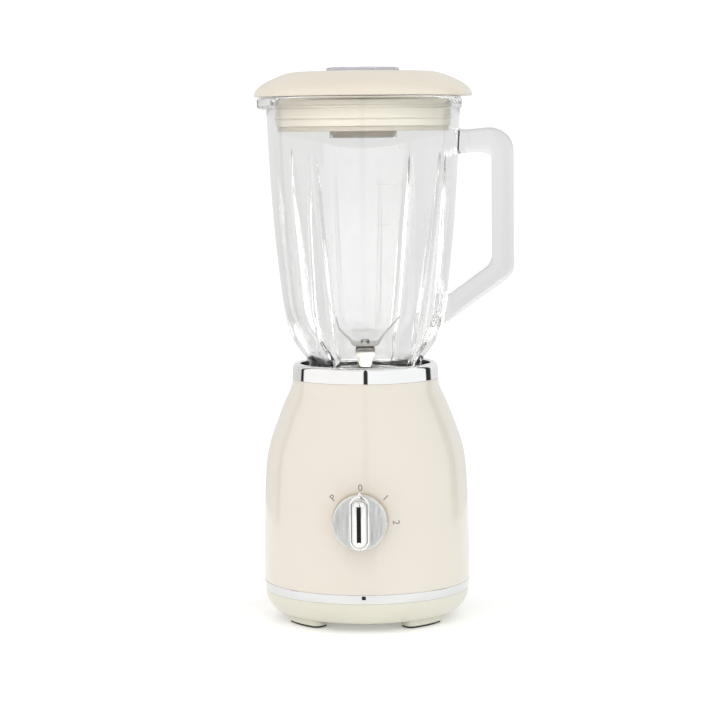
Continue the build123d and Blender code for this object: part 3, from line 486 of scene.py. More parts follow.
def knob_rim():
    """Chrome rim with a rolled front edge."""
    front = -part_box("knob_rim")[0].y / MM
    back = -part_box("knob_rim")[1].y / MM
    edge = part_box("knob_rim")[1].x / MM
    roll = [(edge - 0.42 + 0.42 * math.sin(t), front - 0.42 + 0.42 * math.cos(t))
            for t in np.linspace(-math.pi / 2, math.pi / 2, 9)]
    line = roll + [(edge, back + 0.1), (edge - 0.1, back), (edge - 0.84, back)]
    return stand_for(knob_turned("knob_rim_ring", in_mm(line), 192), "knob_rim")


def knob_bezel():
    """Ring behind the knob that follows the cover's curve at its back, in a dark gold-brown that paints the shadow
    gap round the knob's edge.
    """
    return finish_with(frame["nodes"]["knob_bezel"], "bezel_plastic")


def stadium(inset, count=160):
    """Points round the finger bar's plan, drawn in by an inset, as (x, up) in millimetres."""
    low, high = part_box("knob_grip")
    half_width = high.x / MM - inset
    straight = (high.z - low.z) / 2 / MM - high.x / MM
    points = []
    quarter = count // 4
    for side in (1, -1):
        for i in range(quarter):
            turn = math.pi * (i / (quarter - 1)) - math.pi / 2
            points.append((side * half_width * math.sin(turn), side * (straight + half_width * math.cos(turn))))
        for i in range(1, quarter):
            along = straight * (1 - 2 * i / quarter)
            points.append((side * half_width, side * along))
    return points


def knob_grip():
    """Chrome finger bar: a flat shoulder, a fine step and a rounded ridge whose ends are domed."""
    low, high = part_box("knob_grip")
    front = -low.y / MM
    back = -high.y / MM
    middle = high.x / MM
    shoulder = back + 2.9
    ridge_inset = 1.75
    ridge = [(ridge_inset + (middle - ridge_inset - 1.0) * (1 - math.cos(t)),
              shoulder + 0.25 + (front - 0.12 - shoulder - 0.25) * math.sin(t))
             for t in np.linspace(0, math.pi / 2, 14)]
    profile = [(0.0, back), (0.0, shoulder - 0.6), (0.12, shoulder - 0.2), (0.45, shoulder), (1.35, shoulder + 0.1),
               (1.55, shoulder - 0.05)] + ridge + [(middle - 0.5, front - 0.03), (middle, front)]
    bm = bmesh.new()
    rings = [[bm.verts.new(knob_point(x * MM, up * MM, depth * MM)) for x, up in stadium(inset)]
             for inset, depth in profile]
    skin(bm, rings, loop=False)
    bm.faces.new(rings[0])
    bmesh.ops.remove_doubles(bm, verts=bm.verts, dist=0.002 * MM)
    return stand_for(mesh_object("finger_bar", bm), "knob_grip")


def knob_pointer():
    """Small white marker, a wedge with softened edges that hugs the rim."""
    low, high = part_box("knob_pointer")
    front = -low.y
    back = -high.y
    half = high.x
    base = KNOB_R + 0.02 * MM
    tip = high.z - KNOB_Z
    outline = [(-half, base), (-half * 0.55, base + 0.35 * (tip - base)), (-0.12 * half, tip - 0.06 * MM), (0, tip),
               (0.12 * half, tip - 0.06 * MM), (half * 0.55, base + 0.35 * (tip - base)), (half, base)]
    rings = [[knob_point(x * grow, up, depth) for x, up in outline]
             for depth, grow in ((back, 1.0), (front - 0.2 * MM, 1.0), (front, 0.86))]
    return stand_for(grown("pointer", rings), "knob_pointer")


# ---------------------------------------------------------------- jug


JUG_LOW, JUG_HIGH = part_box("jug_glass")
BEAD_R = -JUG_LOW.y / MM
JUG_FOOT = JUG_LOW.z / MM
WALL = 4.5
GROOVE_ANGLES = (-29.5, 60.5, 150.5, 240.5)
GROOVE_FOOT = (31.2, 13.5)
GROOVE_HEAD = (5.1, 155.0)
GROOVE_END = 180.0
GROOVE_TIP = 1.8
GROOVE_FLANK = math.radians(20)
GROOVE_EDGE = 1.8
LIP_ANGLE = -90
LIP_OUT = 69.0
LIP_R = 8.0
LIP_WALL = 4.4
LIP_FOOT = 200.2
LIP_FLOOR = 203.0
LIP_ROUND = 1.4


def soft_min(a, b, width):
    """The smaller of two numbers, with the change-over rounded."""
    share = max(width - abs(a - b), 0.0) / width
    return min(a, b) - share * share * width / 4


def groove_ridge(height):
    """Distance from the axis to a groove's ridge line at a height."""
    share = (height - JUG_FOOT - GROOVE_FOOT[1]) / (GROOVE_HEAD[1] - GROOVE_FOOT[1])
    return BEAD_R - (GROOVE_FOOT[0] + share * (GROOVE_HEAD[0] - GROOVE_FOOT[0]))


def groove_radius(turn, height, grow):
    """Distance from the axis at which a ray meets the groove's blunt wedge, grown by an offset, or a large one."""
    centre = groove_ridge(height) + GROOVE_TIP
    radius = GROOVE_TIP + grow
    touch = math.atan2(radius * math.cos(GROOVE_FLANK), centre - radius * math.sin(GROOVE_FLANK))
    if turn <= touch:
        return centre * math.cos(turn) - math.sqrt(max(radius ** 2 - (centre * math.sin(turn)) ** 2, 0.0))
    if turn >= GROOVE_FLANK:
        return math.inf
    return (centre * math.sin(GROOVE_FLANK) - radius) / math.sin(GROOVE_FLANK - turn)


def lip_radius(turn, inset):
    """Distance from the axis to the pouring lip, the rim's circle drawn out to a rounded tip, or 0 outside it."""
    lean = math.acos((BEAD_R - LIP_R) / LIP_OUT)
    tip = LIP_R - inset
    if turn >= lean:
        return 0.0
    if turn > math.atan2(tip * math.sin(lean), LIP_OUT + tip * math.cos(lean)):
        return (BEAD_R - inset) / math.cos(lean - turn)
    return LIP_OUT * math.cos(turn) + math.sqrt(tip ** 2 - (LIP_OUT * math.sin(turn)) ** 2)


def turn_between(angle, other):
    """The angle between two directions round the axis, in radians."""
    return math.radians(abs((angle - other + 180) % 360 - 180))


def wall_radius(angle, radius, height, inner, trim):
    """The jug wall's radius at an angle: its turned radius with the grooves and the pouring lip, less a trim."""
    rise = height - JUG_FOOT
    if GROOVE_FOOT[1] < rise < GROOVE_END:
        turn = min(turn_between(angle, other) for other in GROOVE_ANGLES)
        meets = groove_radius(turn, height, WALL if inner else 0.0)
        if math.isfinite(meets):
            radius = soft_min(radius, meets, GROOVE_EDGE)
    lip = lip_radius(turn_between(angle, LIP_ANGLE), LIP_WALL if inner else 0.0)
    if inner and rise > LIP_FLOOR:
        radius = max(radius, lip)
    elif not inner and rise > LIP_FOOT:
        radius += max(lip - radius, 0.0) * math.sqrt(min((rise - LIP_FOOT) / LIP_ROUND, 1.0))
    return radius - trim


def jug_rows():
    """(radius, height, inner, trim) rows up the jug's outside, over its rim and down its inside."""
    outside = spline([(31.2, 12.0), (30.4, 16.0), (27.2, 22.4), (20.8, 31.0), (15.2, 45.0), (10.9, 71.0),
                      (6.0, 119.0), (2.8, 171.0), (1.5, 200.2)], 2.2, start=(0, 1))
    bead = [(0.9, 200.4), (0.4, 200.7), (0.1, 201.2), (0.0, 201.8), (0.0, 204.5), (0.0, 207.0)]
    inside = spline([(6.2, 196.0), (7.3, 171.0), (10.5, 119.0), (15.4, 71.0), (20.0, 45.5), (25.8, 33.5),
                     (32.8, 23.0), (36.0, 16.5), (36.9, 11.0)], 2.2, end=(0, -1))
    over = spline([(0.0, 0.0), (1.0, 1.55), (2.4, 2.0), (3.7, 1.3), (4.5, -0.5)], 0.5, start=(0, 1))
    rows = [(BEAD_R - 36.0, 0.0, False, 0.0), (BEAD_R - 32.2, 0.0, False, 0.0), (BEAD_R - 31.4, 0.3, False, 0.0),
            (BEAD_R - 31.2, 1.0, False, 0.0)]
    rows += [(BEAD_R - inset, rise, False, 0.0) for inset, rise in outside + bead]
    rows += [(BEAD_R, 207.0 + up, False, trim) for trim, up in over[1:]]
    rows += [(BEAD_R - 5.3, 203.5, True, 0.0), (BEAD_R - 5.35, 203.1, True, 0.0),
             (BEAD_R - 5.4, 202.9, True, 0.0), (BEAD_R - 5.75, 200.0, True, 0.0)]
    rows += [(BEAD_R - inset, rise, True, 0.0) for inset, rise in inside]
    rows += [(BEAD_R - 36.9, 1.0, True, 0.0), (BEAD_R - 36.7, 0.3, True, 0.0)]
    return [(radius, JUG_FOOT + rise, inner, trim) for radius, rise, inner, trim in rows]


NEAR_SHARES = (0, 0.1, 0.2, 0.31, 0.43, 0.55, 0.67, 0.78, 0.87, 0.94, 1.0, 1.03, 1.07, 1.12, 1.19, 1.29, 1.43,
               1.6, 1.8)
NEAR_REACH = 16.0
LEAST_GROOVE = 2.0
STEPS_BETWEEN = (24, 24, 80, 96)


def groove_half_angle(radius, height, inner):
    """How far round from a groove's middle its flank meets the turned wall, in degrees."""
    flank = (groove_ridge(height) + GROOVE_TIP) * math.sin(GROOVE_FLANK) - GROOVE_TIP - (WALL if inner else 0.0)
    return max(LEAST_GROOVE, math.degrees(GROOVE_FLANK - math.asin(min(0.34, flank / radius))))


def jug_angles(radius, height, inner):
    """Angles round the jug on one row, in columns that follow the edges of the grooves."""
    half = groove_half_angle(radius, height, inner)
    reaches = [half * share if share <= 1 else half + (share - 1) * (NEAR_REACH - half) for share in NEAR_SHARES]
    angles = []
    for middle, steps in zip(GROOVE_ANGLES, STEPS_BETWEEN):
        angles += [middle - reach for reach in reversed(reaches[1:])] + [middle + reach for reach in reaches]
        start = middle + NEAR_REACH
        stop = middle + 90 - NEAR_REACH
        angles += [start + (stop - start) * k / steps for k in range(steps + 1)]
    return angles


def jug_wall():
    """The jug's glass without its handle."""
    bm = bmesh.new()
    rings = []
    for radius, height, inner, trim in jug_rows():
        rings.append([bm.verts.new(polar(wall_radius(angle, radius, height, inner, trim) * MM, angle, height * MM))
                      for angle in jug_angles(radius, height, inner)])
    skin(bm, rings)
    return mesh_object("jug", bm)


HANDLE_OUTER = ((42.1, 184.7), (0.0, 188.4), (0.0, 80.6), (58.4, 38.7))
HANDLE_INNER = ((42.1, 168.3), (16.0, 168.3), (16.0, 89.9), (58.4, 59.3))
HANDLE_OUTER_BENDS = (17.5, 12.3)
HANDLE_INNER_BENDS = (6.0, 8.3)
HANDLE_HALF_DEEP = 7.5
HANDLE_CORNER = 2.8
HANDLE_FLARE = 0.16
FLARE_REACH = 8.0


def handle_section(half_thick, count=12):
    """Points round the handle's section, a rectangle with large rounded corners, as (across, outward)."""
    points = []
    for sx, sy, first in ((1, 1, 0), (-1, 1, 90), (-1, -1, 180), (1, -1, 270)):
        for i in range(count):
            turn = math.radians(first + 90 * i / (count - 1))
            points.append((sx * (HANDLE_HALF_DEEP - HANDLE_CORNER) + HANDLE_CORNER * math.cos(turn),
                           sy * (half_thick - HANDLE_CORNER) + HANDLE_CORNER * math.sin(turn)))
    return points


def middle_of_wall(height):
    """Radius of the middle of the jug's wall at a height, where the handle's ends are buried."""
    rows = [(z, r) for r, z, inner, trim in jug_rows() if not inner and trim == 0 and z > JUG_FOOT + 20]
    return np.interp(height, [z for z, r in rows], [r for z, r in rows]) - WALL / 2


def bend(corner, before, after, radius, steps=14):
    """Points and directions round one bend of the handle's line, in the XZ plane."""
    cosine = float(np.dot(before, after))
    reach = radius * math.tan(math.acos(cosine) / 2)
    normal = after - before * cosine
    normal = normal / np.linalg.norm(normal)
    start = corner - before * reach
    centre = start + normal * radius
    total = math.acos(cosine)
    places = []
    for i in range(steps + 1):
        t = total * i / steps
        places.append((centre - normal * radius * math.cos(t) + before * radius * math.sin(t),
                       before * math.cos(t) + normal * math.sin(t)))
    return places


def handle_edge(corners, radii):
    """Points along one edge of the handle's outline in the XZ plane, in steps that pair with the other edge's."""
    corners = [np.array((JUG_HIGH.x / MM - inset, JUG_FOOT + rise)) for inset, rise in corners]
    ways = [(there - here) / np.linalg.norm(there - here) for here, there in zip(corners, corners[1:])]
    first = [point for point, _ in bend(corners[1], ways[0], ways[1], radii[0])]
    second = [point for point, _ in bend(corners[2], ways[1], ways[2], radii[1])]
    end = second[-1]
    while end[0] > middle_of_wall(end[1]):
        end = end + ways[2] * 0.1
    runs = ((corners[0], first[0], 12), (first[-1], second[0], 24), (second[-1], end, 18))
    between = [[start + (stop - start) * k / steps for k in range(1, steps)] for start, stop, steps in runs]
    return [corners[0]] + between[0] + first + between[1] + second + between[2] + [end]


def handle():
    """D-shaped handle, a flat-sided bar bent twice, that flares where it runs into the wall."""
    outer = handle_edge(HANDLE_OUTER, HANDLE_OUTER_BENDS)
    inner = handle_edge(HANDLE_INNER, HANDLE_INNER_BENDS)
    middles = [(far + near) / 2 for far, near in zip(outer, inner)]
    lengths = [0.0]
    for here, there in zip(middles, middles[1:]):
        lengths.append(lengths[-1] + float(np.linalg.norm(there - here)))
    rings = []
    for far, middle, along in zip(outer, middles, lengths):
        to_end = max(0.0, min(along, lengths[-1] - along) - WALL / 2)
        flare = 1 + HANDLE_FLARE * max(0.0, 1 - to_end / FLARE_REACH) ** 2
        half = float(np.linalg.norm(far - middle))
        ring = []
        for across, out in handle_section(half):
            place = middle + (far - middle) * (out / half * flare)
            ring.append(Vector((place[0], across * flare, place[1])) * MM)
        rings.append(ring)
    return grown("handle", rings)


def jug():
    """The glass jug and its handle as one piece."""
    return stand_for(combine(jug_wall(), handle(), "UNION"), "jug_glass")


def blade_base():
    """Pressed stainless floor of the jug, with a rolled corner and a shallow ring pressed into it."""
    line = [(31.55, 15.7), (31.55, 14.5), (9.6, 14.5, 1.4), (7.2, 13.4, 1.0), (6.9, 12.0), (6.9, 0.0), (0.0, 0.0),
            (0.0, 1.2), (5.7, 1.2, 0.8), (5.7, 12.3), (6.7, 14.7, 1.0), (9.1, 15.7, 1.4), (16.0, 15.7, 1.0),
            (17.0, 15.3, 1.0), (21.0, 15.3, 1.0), (22.0, 15.7, 1.0)]
    return stand_for(turned("jug_floor", fit("blade_base", rounded(line, 0.25)), 192), "blade_base")


def bearing_housing():
    """Turned tower round the blade shaft, with chamfered shoulders."""
    line = [(5.1, 0), (1.5, 0), (1.5, 12.2), (0, 12.2), (0, 13.3, 0.4), (3.7, 15.6, 0.8), (3.7, 23.2, 0.4),
            (4.3, 24.1, 0.3), (5.1, 24.1)]
    return stand_for(turned("bearing_tower", fit("bearing_housing", rounded(line, 0.15)), 96), "bearing_housing")


# ---------------------------------------------------------------- lid and cap


def lid():
    """Domed lid with a deep plug, a sleeve for the cap and a rounded brow."""
    dome = spline([(30.9, 42.5), (15.5, 38.5), (6.5, 34.0), (2.3, 30.4)], 1.2, start=(-1, 0), end=(-0.62, -0.78))
    brow = spline([(2.3, 30.4), (0.8, 28.1), (0.0, 25.8)], 0.4, start=(-0.62, -0.78), end=(-0.2, -1))
    edge = [(0.0, 25.6), (0.15, 25.15), (0.6, 24.9)]
    under = [(2.0, 24.9), (12.5, 24.9), (12.5, 34.3), (16.9, 36.1), (16.9, 0.0, 0.5), (19.3, 0.0, 0.5),
             (19.3, 36.9, 0.5), (30.9, 40.1), (51.2, 40.1), (51.2, 17.5), (53.6, 17.5)]
    sleeve = [(53.6, 42.1), (53.2, 42.5)]
    line = [(50.0, 42.5)] + dome + brow[1:] + edge + rounded(under, 0.3, closed=False) + sleeve
    return stand_for(turned("lid_shell", fit("lid", line), 256), "lid")


def lid_seal():
    """Sealing sleeve with two soft lips."""
    line = [(2.6, 18.0), (2.6, 0.0), (1.4, 0.0, 0.4), (1.4, 4.6), (0.0, 5.9, 0.5), (1.4, 7.2), (1.4, 12.6),
            (0.0, 13.9, 0.5), (1.4, 15.2), (1.4, 18.0, 0.4)]
    return stand_for(turned("seal_sleeve", fit("lid_seal", rounded(line, 0.2)), 256), "lid_seal")


def measuring_cap():
    """Clear cap: a flat top with a rounded rim over a tapered cup that is open below."""
    line = [(26.3, 50.4), (0.0, 50.4, 1.0), (0.0, 47.8, 0.5), (1.5, 47.8), (1.92, 7.7), (2.0, 0.0, 0.5),
            (4.0, 0.0, 0.5), (3.92, 7.7), (3.5, 47.8, 1.5), (26.3, 47.8)]
    piece = stand_for(turned("cap_cup", fit("measuring_cap", rounded(line, 0.3, closed=False)), 160),
                      "measuring_cap")
    piece.data.materials.append(CAP_FOOT)
    plug_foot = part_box("lid")[0].z + 0.3 * MM
    for face in piece.data.polygons:
        if all(piece.data.vertices[index].co.z < plug_foot for index in face.vertices):
            face.material_index = 1
    return piece


# ---------------------------------------------------------------- blades


BLADE_THICK = 1.1
BLADE_TURN = math.radians(3.4)


def bent_line(points, radii, spacing=0.6):
    """(point, direction) pairs along a bent line of (across, up) points in millimetres."""
    places = []
    at = np.array(points[0], float)
    for i in range(1, len(points) - 1):
        corner = np.array(points[i], float)
        before = corner - np.array(points[i - 1], float)
        before = before / np.linalg.norm(before)
        after = np.array(points[i + 1], float) - corner
        after = after / np.linalg.norm(after)
        turn = bend(corner, before, after, radii[i - 1], 8)
        steps = max(1, math.ceil(np.linalg.norm(turn[0][0] - at) / spacing))
        places += [(at + (turn[0][0] - at) * k / steps, before) for k in range(steps)]
        places += turn[:-1]
        at = turn[-1][0]
        last = after
    steps = math.ceil(np.linalg.norm(np.array(points[-1]) - at) / spacing)
    places += [(at + (np.array(points[-1]) - at) * k / steps, last) for k in range(steps + 1)]
    return places


def blade(name, places, edges, turned_round):
    """Sheet blade along a line, as wide as edges(point) says, with ground bevels along both sides."""
    rings = []
    for point, direction in places:
        low, high = edges(point)
        bevel = 0.32 * (high - low)
        up = np.array((-direction[1], direction[0]))
        half = BLADE_THICK / 2
        ring = []
        for side, lift in ((low, -0.25), (low + bevel, -1), (high - bevel, -1), (high, -0.25), (high, 0.1),
                           (high - 0.4 * bevel, 1), (low + 0.4 * bevel, 1), (low, 0.1)):
            spot = point + up * half * lift
            x, y = (side, spot[0]) if turned_round else (spot[0], side)
            ring.append(Vector((x * math.cos(BLADE_TURN) - y * math.sin(BLADE_TURN),
                                x * math.sin(BLADE_TURN) + y * math.cos(BLADE_TURN), spot[1])) * MM)
        rings.append(ring)
    return grown(name, rings)


HUB_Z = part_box("blade_washer")[1].z / MM


def upper_blade():
    """Blade pair turned up to points, one arm curved and one straight."""
    level = HUB_Z + 1.5 * BLADE_THICK
    low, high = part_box("upper_blade")
    top_left = (low.x / MM + 0.9, high.z / MM - 0.8)
    top_right = (high.x / MM - 0.7, high.z / MM - 0.4)
    line = [top_left, (-18.6, level + 8.9), (-9.0, level), (9.6, level), top_right]
    far = [(-23, 1.0), (-22, 3.5), (-9, 7.4), (9, 7.4), (26.5, -1.0)]
    near = [(-23, -2.0), (-9, -7.4), (9, -7.4), (24, -4.6), (26.5, -3.0)]

    def edges(point):
        return (np.interp(point[0], *zip(*near)), np.interp(point[0], *zip(*far)))

    piece = blade("blade_up", bent_line(line, (12.0, 4.0, 3.0)), edges, False)
    return stand_for(piece, "upper_blade", BLADE_STEEL)


def lower_blade():
    """Blade pair turned down, front and back, tapering to blunt ends."""
    level = HUB_Z + 0.5 * BLADE_THICK
    line = [(-15.3, level - 12.5), (-8.6, level), (8.6, level), (15.3, level - 12.5)]
    widths = [(level - 13.9, 2.3), (level - 10.5, 4.6), (level - 4.7, 5.7), (level - 1.9, 6.9), (level + 2, 6.9)]

    def edges(point):
        half = np.interp(point[1], *zip(*widths))
        return (-half, half)

    piece = blade("blade_down", bent_line(line, (2.4, 2.4)), edges, True)
    return stand_for(piece, "lower_blade", BLADE_STEEL)


# ---------------------------------------------------------------- figures and marks


def lettering(name, text, size, place, body, slot, ink):
    """Generic figures as a thin mesh laid on a surface. place turns flat (x, up) into a point of the frame."""
    curve = bpy.data.curves.new(name, "FONT")
    curve.body = text
    curve.size = size * MM
    curve.align_x = "CENTER"
    curve.align_y = "CENTER"
    curve.extrude = 0.5 * MM
    curve.resolution_u = 4
    words = bpy.data.objects.new(name, curve)
    bpy.context.scene.collection.objects.link(words)
    graph = bpy.context.evaluated_depsgraph_get()
    graph.update()
    mesh = bpy.data.meshes.new_from_object(words.evaluated_get(graph))
    bpy.data.objects.remove(words)
    for vertex in mesh.vertices:
        vertex.co = place(vertex.co.x, vertex.co.y, 1 if vertex.co.z > 0 else 0)
    piece = bpy.data.objects.new(name, mesh)
    bpy.context.scene.collection.objects.link(piece)
    finish_with(piece, slot)
    piece.data.materials[0] = ink
    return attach(piece, body)


FIGURE_RING_R = 24.8 * MM
FIGURE_DROP = 1.9 * MM
FIGURE_SIZE = 6.8
INK = 0.04 * MM


def cover_radius():
    """A function that gives the painted cover's outer radius at a height."""
    reach = {}
    for vertex in bpy.data.objects["cover"].data.vertices:
        level = round(vertex.co.z, 5)
        reach[level] = max(reach.get(level, 0), math.hypot(vertex.co.x, vertex.co.y))
    levels = sorted(reach)
    return lambda z: float(np.interp(z, levels, [reach[level] for level in levels]))


def dial_figures():
    """P, 0, 1 and 2 printed round the knob, each turned to face it."""
    radius_at = cover_radius()
    for text, angle, further in (("P", -48, 1.05), ("0", 0, 1.0), ("1", 45, 1.0), ("2", 90, 1.0)):
        turn = math.radians(angle)
        reach = FIGURE_RING_R * further
        centre = (reach * math.sin(turn), KNOB_Z - FIGURE_DROP + reach * math.cos(turn))

        def place(x, up, layer, turn=turn, centre=centre):
            across = centre[0] + x * math.cos(turn) + up * math.sin(turn)
            height = centre[1] - x * math.sin(turn) + up * math.cos(turn)
            reach = radius_at(height) + (INK if layer else -INK)
            return Vector((across, -math.sqrt(reach ** 2 - across ** 2), height))

        lettering("figure_" + text, text, FIGURE_SIZE, place, "base", "bezel_plastic", DIAL_PRINT)


SCALE = (("1.5L", 174.0), ("1.2", 147.4), ("0.9", 119.0))
SCALE_TICK = (10.8, 20.5)
SCALE_TEXT_ANGLE = 28.4
SCALE_SIZE = 6.6
SCALE_INK = 0.05


def glass_point(angle, height, layer):
    """A point on the jug's outer wall, or just outside it, in metres from degrees and millimetres."""
    radius = middle_of_wall(height) + WALL / 2 + (SCALE_INK if layer else -SCALE_INK)
    return polar(radius * MM, angle, height * MM)


def scale_tick(name, height, thick=0.45):
    """One level line of the capacity scale."""
    rings = []
    for angle in np.linspace(*SCALE_TICK, 16):
        rings.append([glass_point(angle, height + up, layer)
                      for up, layer in ((-thick / 2, 0), (-thick / 2, 1), (thick / 2, 1), (thick / 2, 0))])
    piece = finish_with(grown(name, rings), "white_pointer")
    piece.data.materials[0] = SCALE_PRINT
    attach(piece, "jug")


def capacity_scale():
    """Generic capacity lines and figures on the jug's front."""
    for text, rise in SCALE:
        height = JUG_FOOT + rise

        def place(x, up, layer, height=height):
            across = math.degrees(x / MM / (middle_of_wall(height) + WALL / 2))
            return glass_point(SCALE_TEXT_ANGLE + across, height + up / MM, layer)

        scale_tick("tick_" + text, height)
        lettering("capacity_" + text, text, SCALE_SIZE, place, "jug", "white_pointer", SCALE_PRINT)


# ---------------------------------------------------------------- studio


CAMERA_DISTANCE = 1.742
CAMERA_HEIGHT = 0.356
CAMERA_AROUND = 3.4
CAMERA_PITCH = 5.5
CAMERA_YAW = 0.127
CAMERA_ROLL = -0.53
CAMERA_LENS = 120


def camera():
    """Camera a little right of the front and a little above the jug's middle."""
    data = bpy.data.cameras.new("camera")
    data.lens = CAMERA_LENS
    data.sensor_width = 36
    data.clip_start = 0.01
    piece = bpy.data.objects.new("camera", data)
    bpy.context.scene.collection.objects.link(piece)
    piece.location = polar(CAMERA_DISTANCE, CAMERA_AROUND, CAMERA_HEIGHT)
    turn = (Matrix.Rotation(math.radians(CAMERA_AROUND + CAMERA_YAW), 4, "Z")
            @ Matrix.Rotation(math.radians(90 - CAMERA_PITCH), 4, "X")
            @ Matrix.Rotation(math.radians(CAMERA_ROLL), 4, "Z"))
    piece.rotation_euler = turn.to_euler()
    bpy.context.scene.camera = piece


FLOOR_R = 0.62
FLOOR_GLOW = 0.2
FLOOR_DROP = 0.0002


def floor():
    """Plain white table, faintly glowing so that it meets the white surroundings without an edge."""
    bm = bmesh.new()
    bmesh.ops.create_circle(bm, cap_ends=True, segments=96, radius=FLOOR_R)
    piece = mesh_object("floor", bm)
    white = moulded("table_white", (0.92, 0.92, 0.92), 0.7, depth=0.0)
    shader = white.node_tree.nodes["Principled BSDF"]
    shader.inputs["Emission Color"].default_value = (1, 1, 1, 1)
    shader.inputs["Emission Strength"].default_value = FLOOR_GLOW
    piece.data.materials.append(white)
    piece.location.z = -FLOOR_DROP


def dark_card(name, depth, middle, half_width, top):
    """Dark upright card in front of the blender that only shows in reflections."""
    bm = bmesh.new()
    bm.faces.new([bm.verts.new((middle + side * half_width, -depth, height))
                  for side, height in ((-1, 0.0), (1, 0.0), (1, top), (-1, top))])
    piece = mesh_object(name, bm)
    piece.data.materials.append(moulded(name, (0.01, 0.01, 0.01), 0.9))
    piece.visible_camera = False
    piece.visible_diffuse = False
    piece.visible_transmission = False
    piece.visible_shadow = False


# Light from round about, as (share of a turn from behind, level) stops: on rough surfaces, in reflections and
# through glass. A high box in front adds to the last. The gap in front and the fall with height come after.
LIGHT_BOUNCES = 28
FRONT_GAP = 3.3
GAP_LEVEL = 0.03
BACKDROP = 1.1
ABOUT_PLAIN = ((0.0, 0.8), (0.165, 0.8), (0.17, 0.4), (0.19, 0.4), (0.195, 1.45), (0.81, 1.4), (0.82, 0.4),
               (0.86, 0.4), (0.865, 0.8), (1.0, 0.8))
ABOUT_GLOSS = ((0.0, 0.85), (0.167, 0.78), (0.171, 0.02), (0.19, 0.02), (0.194, 1.12), (0.816, 1.1),
               (0.82, 0.03), (0.855, 0.05), (0.865, 0.96), (1.0, 0.88))
ABOUT_THROUGH = ((0.0, 0.8), (0.165, 0.785), (0.172, 0.72), (0.19, 0.72), (0.2, 0.88), (0.81, 0.88),
                 (0.82, 0.72), (0.85, 0.72), (0.86, 0.785), (1.0, 0.8))
HIGH_BOX_ABOUT = ((0.3, 0.0), (0.37, 1.0), (0.63, 1.0), (0.7, 0.0))
HIGH_BOX_RISE = ((0.52, 0.0), (0.57, 3.0), (0.9, 3.0), (1.0, 1.0))
UPWARD = ((0.0, 0.6), (0.4, 0.85), (0.5, 1.0), (0.86, 1.0), (0.9, 0.8), (1.0, 0.8))
GAP_PLACE = ((0.45, 0.2), (0.505, 0.36))
WARMTH = ((0.0, 0.5), (0.2, 0.0), (0.45, 0.0), (0.55, 1.0), (0.8, 1.0), (1.0, 0.5))
WARM_LIGHT = (1.0, 0.985, 0.975, 1)
COOL_LIGHT = (0.985, 1.0, 1.0, 1)


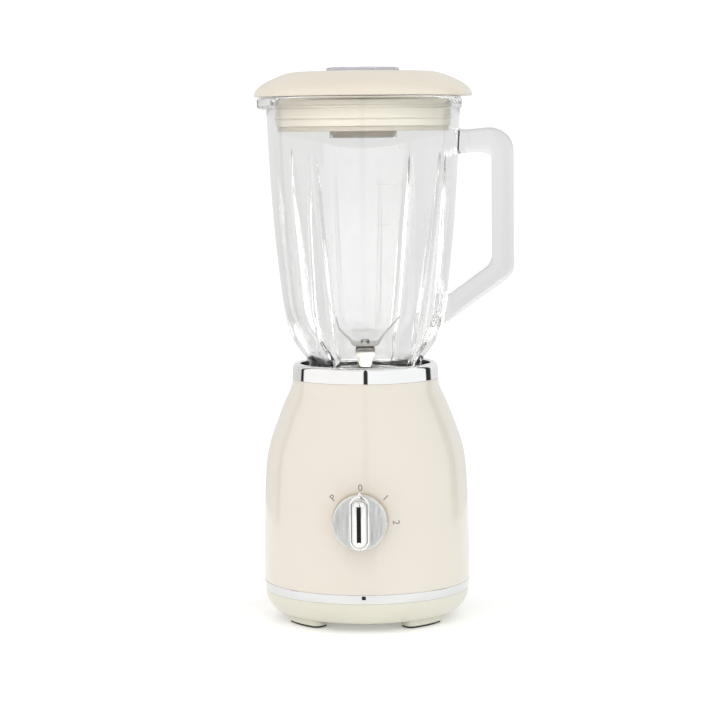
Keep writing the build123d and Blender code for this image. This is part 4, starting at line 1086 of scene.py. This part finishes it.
def studio_light():
    """White surroundings: two wide softboxes in front with a narrow gap, dark flags beside them, a paler wall."""
    world = bpy.data.worlds.new("studio")
    world.use_nodes = True
    bpy.context.scene.world = world
    nodes, links = world.node_tree.nodes, world.node_tree.links
    split = nodes.new("ShaderNodeSeparateXYZ")
    links.new(nodes.new("ShaderNodeTexCoord").outputs["Generated"], split.inputs[0])

    def feed(sockets, values):
        for socket, value in zip(sockets, values):
            if hasattr(value, "node"):
                links.new(value, socket)
            else:
                socket.default_value = value

    def maths(operation, first, second):
        node = nodes.new("ShaderNodeMath")
        node.operation = operation
        feed(node.inputs, (first, second))
        return node.outputs[0]

    def ramp(value, stops):
        node = nodes.new("ShaderNodeValToRGB")
        elements = node.color_ramp.elements
        while len(elements) < len(stops):
            elements.new(0.5)
        for element, (position, level) in zip(elements, stops):
            element.position = position
            element.color = (level, level, level, 1)
        links.new(value, node.inputs["Fac"])
        return node.outputs["Color"]

    def choose(share, first, second):
        node = nodes.new("ShaderNodeMix")
        node.data_type = "RGBA"
        feed([node.inputs[key] for key in ("Factor", "A", "B")], (share, first, second))
        return node.outputs["Result"]

    about = maths("ARCTAN2", split.outputs["X"], maths("MULTIPLY", split.outputs["Y"], -1))
    share = maths("ADD", maths("DIVIDE", about, 2 * math.pi), 0.5)
    rise = maths("ADD", maths("MULTIPLY", split.outputs["Z"], 0.5), 0.5)
    middle = maths("MULTIPLY", ramp(rise, GAP_PLACE), math.radians(10))
    off_gap = maths("ABSOLUTE", maths("SUBTRACT", about, middle), 0.0)
    lit = nodes.new("ShaderNodeMapRange")
    links.new(off_gap, lit.inputs["Value"])
    lit.inputs["From Min"].default_value = math.radians(FRONT_GAP * 0.8)
    lit.inputs["From Max"].default_value = math.radians(FRONT_GAP * 1.2)
    lit.inputs["To Min"].default_value = GAP_LEVEL

    path = nodes.new("ShaderNodeLightPath").outputs
    mirrored = maths("MULTIPLY", ramp(share, ABOUT_GLOSS), lit.outputs["Result"])
    level = choose(path["Is Glossy Ray"], ramp(share, ABOUT_PLAIN), mirrored)
    high_box = maths("MULTIPLY", ramp(share, HIGH_BOX_ABOUT), ramp(rise, HIGH_BOX_RISE))
    through = maths("ADD", ramp(share, ABOUT_THROUGH), high_box)
    level = choose(path["Is Transmission Ray"], level, through)
    level = maths("MULTIPLY", level, ramp(rise, UPWARD))
    warm = choose(ramp(share, WARMTH), WARM_LIGHT, COOL_LIGHT)
    background = nodes["Background"]
    links.new(choose(path["Is Camera Ray"], warm, (1, 1, 1, 1)), background.inputs["Color"])
    seen = maths("MULTIPLY", path["Is Camera Ray"], BACKDROP)
    unseen = maths("MULTIPLY", maths("SUBTRACT", 1.0, path["Is Camera Ray"]), level)
    links.new(maths("ADD", seen, unseen), background.inputs["Strength"])
    bpy.context.scene.view_settings.view_transform = "Standard"
    light_paths = bpy.context.scene.cycles
    light_paths.max_bounces = LIGHT_BOUNCES
    light_paths.glossy_bounces = LIGHT_BOUNCES
    light_paths.transmission_bounces = LIGHT_BOUNCES


# ---------------------------------------------------------------- making


camera()
floor()
dark_card("card_for_knob", 0.35, -0.018, 0.095, 0.073)
dark_card("card_for_trim", 0.13, 0.0015, 0.0036, 0.02)
studio_light()

for node, piece in frame["nodes"].items():
    finish_with(piece, SLOT_OF[node])

for make in (body_shell, collar_ring, trim_ring, knob_bezel, knob_face, knob_rim, knob_grip, knob_pointer, jug,
             blade_base, bearing_housing, lid, lid_seal, measuring_cap, upper_blade, lower_blade, dial_figures,
             capacity_scale):
    make()
